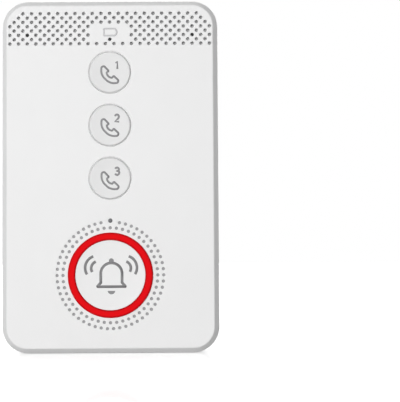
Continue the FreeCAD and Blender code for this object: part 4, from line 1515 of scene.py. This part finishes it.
@dataclass
class CallKeys:
    """Three round call keys, each with an outlined handset and its number."""

    finishes: Finishes
    casing: Casing
    cap_r: float = 8.95
    rim_height: float = 0.35
    dish: float = 0.45
    dish_steps: int = 10
    edge_slope: float = 0.62
    edge_fall: float = 0.72
    edge_soft: float = 0.08
    pocket_r: float = 7.2
    pocket_floor: float = 1.3
    pocket_draft: float = 0.2
    plunger_r: float = 2.0
    plunger_draft: float = 0.1
    flange_half: float = 9.9
    flange_corner_r: float = 0.6
    flange_lap: float = 0.6
    flange_thickness: float = 0.8
    flange_gap: float = 0.05
    print_height: float = 0.05
    line_width: float = 0.86
    handset_corner_r: float = 0.25
    handset_scale: float = 0.95
    handset_centre: Flat = (0.0, -0.98)
    handset_turn_deg: float = -45.0
    number_place: Flat = (2.98, 2.95)
    number_height: float = 3.95

    def level(self, distance: float) -> float:
        """Level of the cap's finger dish at a distance from its middle."""
        share = min(1.0, distance / (self.cap_r - self.edge_slope))
        return self.casing.front_y - self.rim_height + self.dish * (1 - share ** 2)

    def flange_levels(self) -> Flat:
        """Front and back level of the stop flange."""
        front_y = self.casing.front_y + self.casing.wall + self.flange_gap
        return front_y, front_y + self.flange_thickness

    def flange(self, number: int, z: float) -> bpy.types.Object:
        """Square stop flange of a key.

        Args:
            number: Number of the key.
            z: Height of the key.

        Returns:
            The flange.
        """
        square = rounded(2 * self.flange_half, 2 * self.flange_half, self.flange_corner_r, (0.0, z), 6)
        opening = circle(self.cap_r - self.flange_lap, (0.0, z), Grade.SMALL)
        name = "call_key_flange_%d" % number
        return soften(
            perforated_plate(name, [square, opening], [], self.flange_levels(), self.finishes["key_plastic"])
        )

    def cap(self, number: int, z: float) -> bpy.types.Object:
        """Dished cap with its skirt and plunger.

        Args:
            number: Number of the key.
            z: Height of the key.

        Returns:
            The cap.
        """
        stem_y = node_box("call_switch_stem_%d" % number)[0].y
        back_y = self.flange_levels()[1]
        floor_y = self.casing.front_y + self.pocket_floor
        flat_r = self.cap_r - self.edge_slope
        rim_y = self.level(flat_r)
        soft = self.edge_soft
        dish_r = flat_r - soft
        radii = [dish_r * k / self.dish_steps for k in range(self.dish_steps)]
        profile = [(radius, self.level(radius)) for radius in radii]
        profile += bend((dish_r, self.level(dish_r)), (flat_r, rim_y), (flat_r + soft, rim_y + soft), 4)
        profile += [
            (self.cap_r, rim_y + self.edge_fall),
            (self.cap_r, back_y),
            (self.pocket_r, back_y),
            (self.pocket_r - self.pocket_draft, floor_y),
            (self.plunger_r + self.plunger_draft, floor_y),
            (self.plunger_r, stem_y),
            (0.0, stem_y),
        ]
        # The cap's finish is the darker key white, which paints the caps' shade.
        return turned_piece("call_key_cap_%d" % number, profile, (0.0, z), self.finishes["key_plastic"])

    def printed(self, name: str, path: Sequence[Flat], z: float, corner: float, is_open: bool) -> bpy.types.Object:
        """Mark printed in the finger dish of a key.

        Args:
            name: Name of the mark.
            path: Middle line about the key's middle.
            z: Height of the key.
            corner: Radius of the line's corners.
            is_open: Leaves the line open.

        Returns:
            The mark.
        """
        pen = Pen(self.line_width, self.print_height, self.finishes["mark_ink"], corner, is_open)
        obj = stroke(name, [moved(path, (0.0, z))], pen)
        drape(obj, self.level, z)
        return obj

    def handset(self, number: int, z: float) -> bpy.types.Object:
        """Outline of a handset, mirrored about its middle and turned to lie across the key.

        Args:
            number: Number of the key.
            z: Height of the key.

        Returns:
            The mark.
        """
        half = [(1.65, -0.35), (1.6, 0.78), (4.2, 0.88)]
        half += flat_arc((4.2, 0.88), (4.9, 0.25), (4.6, -0.8), 8)[1:]
        half += flat_arc((4.6, -0.8), (2.6, -2.4), (0.0, -2.85), 10)[1:]
        inside = flat_arc((-1.65, -0.35), (0.0, -0.98), (1.65, -0.35), 10)
        other = [(-u, v) for u, v in reversed(half[:-1])]
        outline = inside[1:] + half[1:] + other[:-1] + [(-1.65, -0.35)]
        angle = math.radians(self.handset_turn_deg)
        cx, cz = self.handset_centre
        path = [
            (cx + u * math.cos(angle) - v * math.sin(angle), cz + u * math.sin(angle) + v * math.cos(angle))
            for u, v in ((self.handset_scale * u, self.handset_scale * v) for u, v in outline)
        ]
        return self.printed("handset_mark_%d" % number, path, z, self.handset_corner_r, False)

    def digit(self, number: int, z: float) -> bpy.types.Object:
        """Number of a key, drawn one unit tall and then scaled.

        Args:
            number: Number of the key, from 1 to 3.
            z: Height of the key.

        Returns:
            The mark.
        """
        two = flat_arc((-0.27, 0.27), (0.0, 0.5), (0.25, 0.16), 10)
        three = flat_arc((-0.25, 0.33), (0.02, 0.5), (0.24, 0.26), 8)
        three += flat_arc((0.24, 0.26), (0.14, 0.08), (-0.06, 0.03), 6)[1:]
        three += flat_arc((-0.06, 0.03), (0.24, -0.06), (0.28, -0.25), 7)[1:]
        three += flat_arc((0.28, -0.25), (0.0, -0.5), (-0.28, -0.32), 8)[1:]
        digits = (
            [(-0.17, 0.33), (0.07, 0.5), (0.07, -0.5)],
            two + [(0.16, -0.04), (-0.28, -0.47), (0.3, -0.47)],
            three,
        )
        x, up = self.number_place
        size = self.number_height - self.line_width
        path = [(x + u * size, up + v * size) for u, v in digits[number - 1]]
        return self.printed("number_mark_%d" % number, path, z, 0.0, True)

    def build(self) -> None:
        """Build and place the keys."""
        for number, z in enumerate(self.casing.key_z, 1):
            body = "call_key_%d" % number
            placed(self.flange(number, z), body, "key_white")
            placed(self.cap(number, z), body, "key_white", "call_button_%d" % number)
            placed(self.handset(number, z), body, "key_white")
            placed(self.digit(number, z), body, "key_white")


@dataclass
class AlarmKey:
    """Wide dished key with a bell, and the fixed red ring round it."""

    finishes: Finishes
    casing: Casing
    cap_r: float = 14.79
    rim_height: float = 0.3
    dish: float = 0.4
    dish_steps: int = 14
    edge_round: float = 0.1
    edge_steps: int = 5
    skirt_depth: float = 3.75
    pocket_r: Flat = (11.0, 10.8)
    pocket_floor: float = 1.6
    plunger_r: Flat = (2.6, 2.5)
    stem_gap: float = 0.06
    lug_half: float = 3.0
    lug_reach: Flat = (13.2, 16.2)
    lug_depth: float = 2.9
    lug_thickness: float = 0.85
    print_height: float = 0.05
    line_width: float = 1.18
    wave_share: float = 0.95
    bell_corner_r: float = 0.12
    bell_x: float = 0.4
    waves_x: float = 0.25
    knob_r: float = 1.05
    knob_z: float = 6.1
    ring_inner_r: float = 14.85
    ring_outer_r: float = 18.02
    ring_proud: float = 0.8
    ring_shoulder: float = 0.45
    ring_crest_share: float = 0.28

    def level(self, distance: float) -> float:
        """Level of the dished front at a distance from its middle."""
        share = min(1.0, distance / (self.cap_r - self.edge_round))
        return self.casing.front_y - self.rim_height + self.dish * (1 - share ** 4)

    def cap(self) -> bpy.types.Object:
        """Dished cap with its skirt and plunger.

        Returns:
            The cap.
        """
        stem_y = node_box("alarm_switch_stem")[0].y - self.stem_gap
        back_y = self.casing.front_y + self.skirt_depth
        floor_y = self.casing.front_y + self.pocket_floor
        flat_r = self.cap_r - self.edge_round
        radii = [flat_r * k / self.dish_steps for k in range(self.dish_steps + 1)]
        profile = [(radius, self.level(radius)) for radius in radii]
        for k in range(1, self.edge_steps + 1):
            angle = math.pi / 2 * k / self.edge_steps
            radius = flat_r + self.edge_round * math.sin(angle)
            profile.append((radius, self.level(flat_r) + self.edge_round * (1 - math.cos(angle))))
        profile += [
            (self.cap_r, back_y),
            (self.pocket_r[0], back_y),
            (self.pocket_r[1], floor_y),
            (self.plunger_r[0], floor_y),
            (self.plunger_r[1], stem_y),
            (0.0, stem_y),
        ]
        return turned_piece("alarm_key_cap", profile, (0.0, self.casing.alarm_z), self.finishes["wide_key_plastic"])

    def lugs(self) -> bpy.types.Object:
        """Four lugs that hold the key behind the ring.

        Returns:
            The lugs.
        """
        y = self.casing.front_y + self.lug_depth
        z0 = self.casing.alarm_z
        near, far = self.lug_reach
        half = self.lug_half
        lugs = []
        for dx, dz in ((1, 0), (0, 1), (-1, 0), (0, -1)):
            xs = sorted((dx * near - dz * half, dx * far + dz * half))
            zs = sorted((dz * near - dx * half, dz * far + dx * half))
            lugs.append(block((xs[0], y, z0 + zs[0]), (xs[1], y + self.lug_thickness, z0 + zs[1])))
        return soften(piece("alarm_key_lugs", joined(lugs), self.finishes["wide_key_plastic"]), 0.1)

    def bell(self) -> bpy.types.Object:
        """Printed bell outline with a knob, a clapper and sound arcs.

        Returns:
            The mark.
        """
        finish = self.finishes["bell_ink"]
        z0 = self.casing.alarm_z
        middle = (self.bell_x, z0)
        half = self.print_height / 2
        dome = [(-4.5, -3.1)] + flat_arc((-4.5, 0.7), (0.0, 5.2), (4.5, 0.7), 28) + [(4.5, -3.1)]
        outline = [(-6.0, -4.8)] + dome + [(6.0, -4.8)]
        pen = Pen(self.line_width, self.print_height, finish, self.bell_corner_r)
        body = stroke("bell_mark_body", [moved(outline, middle)], pen)
        arcs = []
        for side in (-1, 1):
            for arc in (
                flat_arc((7.5, 8.0), (10.8, 4.4), (10.15, 0.4)), flat_arc((6.45, 5.75), (8.35, 3.5), (7.95, 1.4))
            ):
                arcs.append(moved([(side * u, v) for u, v in arc], (self.waves_x, z0)))
        pen = Pen(self.line_width * self.wave_share, self.print_height, finish, is_open=True)
        waves = stroke("bell_mark_waves", arcs, pen)
        knob = prism(circle(self.knob_r, (self.bell_x, z0 + self.knob_z), Grade.SMALL), -half, half)
        clapper = prism(moved(flat_arc((-1.6, -6.6), (0.0, -8.05), (1.6, -6.6), 14), middle), -half, half)
        solid = piece("bell_mark_solid", joined([knob, clapper]), finish)
        parts = (body, waves, solid)
        for obj in parts:
            drape(obj, self.level, z0)
        merged = piece("bell_mark", joined([obj.data for obj in parts]), finish)
        for obj in parts:
            bpy.data.objects.remove(obj)
        return merged

    def ring(self) -> bpy.types.Object:
        """Red ring with a rounded crest.

        Returns:
            The ring.
        """
        back_y = node_box("alarm_ring")[1].y
        top_y = self.casing.front_y - self.ring_proud
        shoulder_y = self.casing.front_y - self.ring_shoulder
        inner_r = self.ring_inner_r
        outer_r = self.ring_outer_r
        reach = (outer_r - inner_r) * self.ring_crest_share
        profile = [(inner_r, back_y)]
        profile += bend((inner_r, shoulder_y), (inner_r, top_y), (inner_r + reach, top_y), 7)
        profile += bend((outer_r - reach, top_y), (outer_r, top_y), (outer_r, shoulder_y), 7)
        profile.append((outer_r, back_y))
        place = (0.0, self.casing.alarm_z)
        return turned_piece("alarm_ring_lens", profile, place, self.finishes["red_lens"], sharp_deg=60.0)

    def build(self) -> None:
        """Build and place the key, its bell and the ring."""
        cap = self.cap()
        placed(self.lugs(), "alarm_key", "key_white")
        placed(cap, "alarm_key", "key_white", "alarm_button")
        placed(self.bell(), "alarm_key", "key_white")
        placed(self.ring(), HOUSING, "ring_red", "alarm_ring")


@dataclass
class FaceDetails:
    """Small marks, lights and ports in the face."""

    finishes: Finishes
    casing: Casing
    mark_line: float = 0.72
    mark_height: float = 0.04
    mark_corner_r: float = 0.35
    mark_left_x: float = -2.5
    mark_right_x: float = 2.0
    mark_nose_x: float = 2.95
    mark_z: Flat = (134.95, 137.95)
    port_r: Flat = (0.66, 0.7)
    port_sink: float = 0.35
    port_length: float = 1.6
    port_chamfer: float = 0.06
    battery_light_r: float = 0.7
    dome_height: float = 0.12

    def battery_mark(self) -> bpy.types.Object:
        """Pale outlined battery above its light.

        Returns:
            The mark.
        """
        low, high = self.mark_z
        right = self.mark_right_x
        outline = [(right, low), (self.mark_left_x, low), (self.mark_left_x, high), (right, high)]
        outline += flat_arc((right, high), (self.mark_nose_x, (low + high) / 2), (right, low), 10)[1:-1]
        pen = Pen(self.mark_line, self.mark_height, self.finishes["battery_ink"], self.mark_corner_r)
        return stroke("battery_mark", [outline], pen, self.casing.front_y - self.mark_height / 2)

    def microphone_port(self, side: str, sign: int) -> bpy.types.Object:
        """Black rubber spigot of a microphone boot, just inside its hole.

        Args:
            side: Name of the side.
            sign: Direction of the side along X.

        Returns:
            The port.
        """
        y = self.casing.front_y + self.port_sink
        mouth_r, body_r = self.port_r
        back_y = y + self.port_length
        profile = [(0.0, y), (mouth_r, y), (body_r, y + self.port_chamfer), (body_r, back_y), (0.0, back_y)]
        place = (sign * self.casing.mic_x, self.casing.mic_z)
        return turned_piece("microphone_port_" + side, profile, place, self.finishes["black_foam"], Grade.SMALL)

    def lens(self, light: str, radius: float, z: float) -> bpy.types.Object:
        """Domed end of a light pipe.

        Args:
            light: Name of the light.
            radius: Radius of the pipe.
            z: Height of the pipe.

        Returns:
            The pipe.
        """
        low, high = node_box(light + "_pipe")
        angles = [math.pi / 2 * k / 6 for k in range(7)]
        profile = [(radius * math.sin(a), low.y + self.dome_height * (1 - math.cos(a))) for a in angles]
        profile += [(radius, high.y), (0.0, high.y)]
        name = light + "_lens"
        return turned_piece(name, profile, (0.0, z), self.finishes[name], Grade.SMALL)

    def build(self) -> None:
        """Build and place the details."""
        placed(self.battery_mark(), HOUSING, "casing_white")
        for side, sign in (("left", -1), ("right", 1)):
            placed(self.microphone_port(side, sign), HOUSING, "foam_black")
        for light, radius, z in (
            ("battery_light", self.battery_light_r, self.casing.battery_light_z),
            ("alarm_light", self.casing.alarm_light_r, self.casing.alarm_light_z),
        ):
            placed(self.lens(light, radius, z), HOUSING, "light_clear", light + "_pipe")


@dataclass(frozen=True)
class Screw:
    """Pan-head screw with a cross recess, its seat at y 0 and its head behind it."""

    head_r: float
    head_height: float
    shank_r: float
    length: float
    pitch: float = 0.9
    root_share: float = 0.8
    thread_start: float = 0.5
    point: float = 0.6

    def profile(self) -> list[Flat]:
        """Half section of the screw, from the middle of its head to its point.

        Returns:
            Points (radius, y).
        """
        root_r = self.shank_r * self.root_share
        points = [(0.0, self.head_height)]
        for angle in [math.pi / 2 * k / 6 for k in range(1, 7)]:
            reach = self.head_r * (0.55 + 0.45 * math.sin(angle))
            points.append((reach, self.head_height * (0.45 + 0.55 * math.cos(angle))))
        points += [(self.head_r, 0.0), (self.shank_r, 0.0)]
        for k in range(int(self.length / self.pitch)):
            y = -self.thread_start - self.pitch * k
            points += [(root_r, y), (self.shank_r, y - 0.3)]
        points += [(root_r, -self.length + self.point), (0.0, -self.length)]
        return points

    def mesh(self) -> bpy.types.Mesh:
        """Turn the screw and cut its recess.

        Returns:
            The screw.
        """
        obj = piece("screw_blank", turned(self.profile(), (0.0, 0.0), Grade.SMALL))
        arm = self.head_r * 0.58
        slim = self.head_r * 0.13
        depth = self.head_height * 0.35
        top = self.head_height + 1
        carve(obj, [block((-x, depth, -z), (x, top, z)) for x, z in ((arm, slim), (slim, arm))])
        mesh = obj.data.copy()
        bpy.data.objects.remove(obj)
        return mesh


@dataclass
class Hardware:
    """Screws, the service cover, the charging socket and the power slider."""

    finishes: Finishes
    casing: Casing
    case_screw: Screw = Screw(2.4, 1.6, 1.0, 11.0)
    cover_screw: Screw = Screw(1.8, 0.6, 0.9, 3.4)
    contact_count: int = 12
    contact_pitch: float = 0.5
    contact_margin: float = 0.6
    contact_corners: tuple[Place, Place] = ((0.3, 0.0, -0.13), (3.6, 0.04, 0.13))
    ridge_pitch: float = 0.5
    ridge_corners: tuple[Place, Place] = ((-0.05, -0.7, -0.12), (0.12, 0.7, 0.12))
    sink: float = 0.02

    def screws(self) -> None:
        """Build and place the screws of the casing and of the service cover."""
        steel = self.finishes["plated_steel"]
        places = [(x, self.casing.screw_seat_y, z) for x, z in self.casing.screw_places()]
        turns = [0.3 + 0.9 * k for k in range(len(places))]
        case = repeated("dressed_case_screws", self.case_screw.mesh(), places, steel, turns)
        placed(soften(case, 0.0, 32.0), HOUSING, "screw_steel", "case_screws")
        seat_y = node_box("service_cover_screw")[1].y - self.cover_screw.head_height
        place = (0.0, seat_y, node_middle("service_cover_screw")[1])
        cover = repeated("dressed_cover_screw", self.cover_screw.mesh(), [place], steel, [0.5])
        placed(soften(cover, 0.0, 32.0), HOUSING, "screw_steel", "service_cover_screw")

    def contacts(self) -> bpy.types.Object:
        """Gold pads on the tongue of the charging socket.

        Returns:
            The pads.
        """
        low = node_box("usb_tongue")[0]
        first_z = low.z + self.contact_margin
        places = [(low.x, low.y - self.sink, first_z + self.contact_pitch * k) for k in range(self.contact_count)]
        return repeated("contact_pads", block(*self.contact_corners), places, self.finishes["gold_contact"])

    def slider_grip(self) -> bpy.types.Object:
        """Grip ridges on the power knob.

        Returns:
            The ridges.
        """
        x = node_box("power_slider")[0].x - self.sink
        y, z = node_middle("power_slider")
        places = [(x, y, z + self.ridge_pitch * k) for k in (-1, 0, 1)]
        return repeated("power_grip_ridges", block(*self.ridge_corners), places, self.finishes["slider_plastic"])

    def build(self) -> None:
        """Build and place the hardware."""
        self.screws()
        cover = smoothed_copy("service_cover", 0.14, self.finishes["cover_plastic"])
        placed(cover, HOUSING, "cover_white", "service_cover")
        socket = smoothed_copy("usb_socket", 0.06, self.finishes["plated_steel"])
        placed(socket, HOUSING, "socket_steel", "usb_socket")
        placed(self.contacts(), HOUSING, "socket_steel")
        slider = smoothed_copy("power_slider", 0.1, self.finishes["slider_plastic"])
        placed(slider, "power_slide", "slider_grey", "power_slider")
        placed(self.slider_grip(), "power_slide", "slider_grey")


@dataclass
class InnerWorks:
    """Pieces inside the casing, which show only through the holes: CAD nodes with their own finishes."""

    finishes: Finishes
    starts_of: dict[str, tuple[str, ...]] = field(default_factory=lambda: {
        "black_plastic": ("call_switch_body", "alarm_switch_body", "speaker_frame", "usb_tongue", "power_switch_body"),
        "stem_plastic": ("call_switch_stem", "alarm_switch_stem"),
        "milky_plastic": ("halo_diffuser",),
        "dust_cloth": ("grille_cloth",),
        "black_foam": ("speaker_gasket",),
        "cone_pulp": ("speaker_cone",),
        "magnet_plate": ("speaker_magnet",),
        "amber_film": ("speaker_lead", "cellular_antenna", "battery_lead"),
        "boot_rubber": ("microphone_boot",),
        "tinned_can": ("microphone_left", "microphone_right", "cellular_module", "radio_module"),
        "board_laminate": ("main_board",),
        "plated_steel": ("board_screws", "sim_socket"),
        "light_phosphor": ("indicator_leds", "ring_leds", "halo_leds"),
        "chip_epoxy": ("processor_chip",),
        "cell_foil": ("battery_cell",),
        "pad_foam": ("battery_pad",),
        "ivory_plastic": ("battery_connector",),
    })

    def build(self) -> None:
        """Give every CAD node that still shows its finish."""
        for name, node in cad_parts.items():
            if node.hide_render:
                continue
            finish = next(finish for finish, starts in self.starts_of.items() if name.startswith(starts))
            node.data.materials.clear()
            node.data.materials.append(self.finishes[finish])
            LOG.info("%s keeps its shape, finish %s", name, finish)


@dataclass(frozen=True)
class Lamp:
    """Square area lamp that looks at the middle of the object, in millimetres and watts."""

    name: str
    place: Place
    power: float
    size: float = 600.0
    aim: Place = (0.0, 0.0, 60.0)

    def build(self) -> None:
        """Hang the lamp."""
        data = bpy.data.lights.new(self.name, "AREA")
        data.size = self.size * MM
        data.energy = self.power
        obj = bpy.data.objects.new(self.name, data)
        bpy.context.scene.collection.objects.link(obj)
        obj.location = Vector(self.place) * MM
        obj.rotation_mode = "QUATERNION"
        obj.rotation_quaternion = (Vector(self.aim) - Vector(self.place)).normalized().to_track_quat("-Z", "Y")


@dataclass
class Studio:
    """White floor and surroundings, soft lamps and the camera."""

    lens: float = 103.31
    sensor: float = 36.0
    camera_place: Place = (35.0, -500.0, 43.6)
    pan_deg: float = 0.36
    tilt_deg: float = 2.40
    roll_deg: float = -0.358
    floor_half: float = 3.0
    floor_sink: float = 0.0002
    floor_tone: float = 0.85
    floor_near: float = 150.0
    floor_far: float = 450.0
    floor_glow: float = 0.72
    floor_far_glow: float = 1.3
    floor_bounce: float = 0.35
    floor_mirror: float = 0.24
    ambient: float = 0.05
    lamps: tuple[Lamp, ...] = (
        Lamp("left_lamp", (-640.0, -1685.0, 190.0), 23.6),
        Lamp("front_lamp", (20.0, -1790.0, 150.0), 12.0),
        Lamp("left_back_lamp", (-700.0, 1150.0, 500.0), 6.5),
        Lamp("right_back_lamp", (750.0, 1050.0, 400.0), 10.5),
        Lamp("top_back_lamp", (0.0, 1000.0, 1200.0), 2.6),
    )

    def floor(self) -> None:
        """Large white floor that shows white to the camera but keeps the object's shadow."""
        half = self.floor_half
        corners = [(-half, -half), (half, -half), (half, half), (-half, half)]
        mesh = bpy.data.meshes.new("floor")
        mesh.from_pydata([(x, y, -self.floor_sink) for x, y in corners], [], [(0, 1, 2, 3)])
        tree = ShaderTree("floor_white")
        tree.fill(tree.shader, {"Base Color": (self.floor_tone, self.floor_tone, self.floor_tone, 1.0)})
        tree.plain(0.5)
        distance = tree.add("ShaderNodeVectorMath", {0: tree.coordinates}, operation="LENGTH")
        reach = tree.add("ShaderNodeMapRange", {
            "Value": distance.outputs["Value"],
            "From Min": self.floor_near * MM,
            "From Max": self.floor_far * MM,
            "To Min": self.floor_glow,
            "To Max": self.floor_far_glow,
        })
        glow = tree.add("ShaderNodeEmission", {"Strength": reach.outputs["Result"]})
        total = tree.add("ShaderNodeAddShader", {0: tree.shader.outputs["BSDF"], 1: glow.outputs["Emission"]})
        mirror = tree.add("ShaderNodeBsdfGlossy", {"Roughness": 0.06})
        polished = tree.add("ShaderNodeMixShader", {
            "Fac": self.floor_mirror, 1: total.outputs["Shader"], 2: mirror.outputs["BSDF"],
        })
        tone = (self.floor_bounce, self.floor_bounce, self.floor_bounce, 1.0)
        bounce = tree.add("ShaderNodeBsdfDiffuse", {"Color": tone})
        chosen = tree.add("ShaderNodeMixShader", {
            "Fac": tree.add("ShaderNodeLightPath").outputs["Is Camera Ray"],
            1: bounce.outputs["BSDF"],
            2: polished.outputs["Shader"],
        })
        tree.fill(tree.tree.nodes["Material Output"], {"Surface": chosen.outputs["Shader"]})
        piece("floor", mesh, tree.material)

    def surroundings(self) -> None:
        """World that lights softly and shows white behind the object."""
        world = bpy.data.worlds.new("surroundings")
        bpy.context.scene.world = world
        world.use_nodes = True
        world.node_tree.nodes.clear()
        tree = NodeTree(world.node_tree)
        white = (1.0, 1.0, 1.0, 1.0)
        soft = tree.add("ShaderNodeBackground", {"Color": white, "Strength": self.ambient})
        bright = tree.add("ShaderNodeBackground", {"Color": white, "Strength": 1.0})
        path = tree.add("ShaderNodeLightPath")
        seen = path.outputs["Is Camera Ray"]
        for ray in ("Is Glossy Ray", "Is Transmission Ray"):
            either = {0: seen, 1: path.outputs[ray]}
            seen = tree.add("ShaderNodeMath", either, operation="MAXIMUM").outputs["Value"]
        mix = tree.add("ShaderNodeMixShader", {
            "Fac": seen, 1: soft.outputs["Background"], 2: bright.outputs["Background"],
        })
        tree.add("ShaderNodeOutputWorld", {"Surface": mix.outputs["Shader"]})

    def camera(self) -> None:
        """Camera at the photograph's place and angle."""
        data = bpy.data.cameras.new("camera")
        data.sensor_width = self.sensor
        data.lens = self.lens
        data.clip_start = 0.01
        data.clip_end = 50.0
        obj = bpy.data.objects.new("camera", data)
        bpy.context.scene.collection.objects.link(obj)
        pan, tilt, roll = (math.radians(a) for a in (self.pan_deg, self.tilt_deg, self.roll_deg))
        forward = Vector((math.sin(pan) * math.cos(tilt), math.cos(pan) * math.cos(tilt), math.sin(tilt)))
        level = Vector((math.cos(pan), -math.sin(pan), 0.0))
        upright = level.cross(forward)
        right = level * math.cos(roll) + upright * math.sin(roll)
        up = upright * math.cos(roll) - level * math.sin(roll)
        obj.rotation_mode = "QUATERNION"
        obj.rotation_quaternion = Matrix((right, up, -forward)).transposed().to_quaternion()
        obj.location = Vector(self.camera_place) * MM
        bpy.context.scene.camera = obj

    def build(self) -> None:
        """Set up the studio."""
        bpy.context.scene.view_settings.view_transform = "Standard"
        self.floor()
        self.surroundings()
        for lamp in self.lamps:
            lamp.build()
        self.camera()


def main() -> None:
    """Dress the frame, piece by piece."""
    logging.basicConfig(level=logging.INFO, format="%(message)s")
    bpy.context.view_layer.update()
    finishes = Finishes()
    casing = Casing(finishes)
    casing.build()
    for assembly in (CallKeys, AlarmKey, FaceDetails, Hardware):
        assembly(finishes, casing).build()
    InnerWorks(finishes).build()
    Studio().build()


if __name__ == "__main__":
    main()
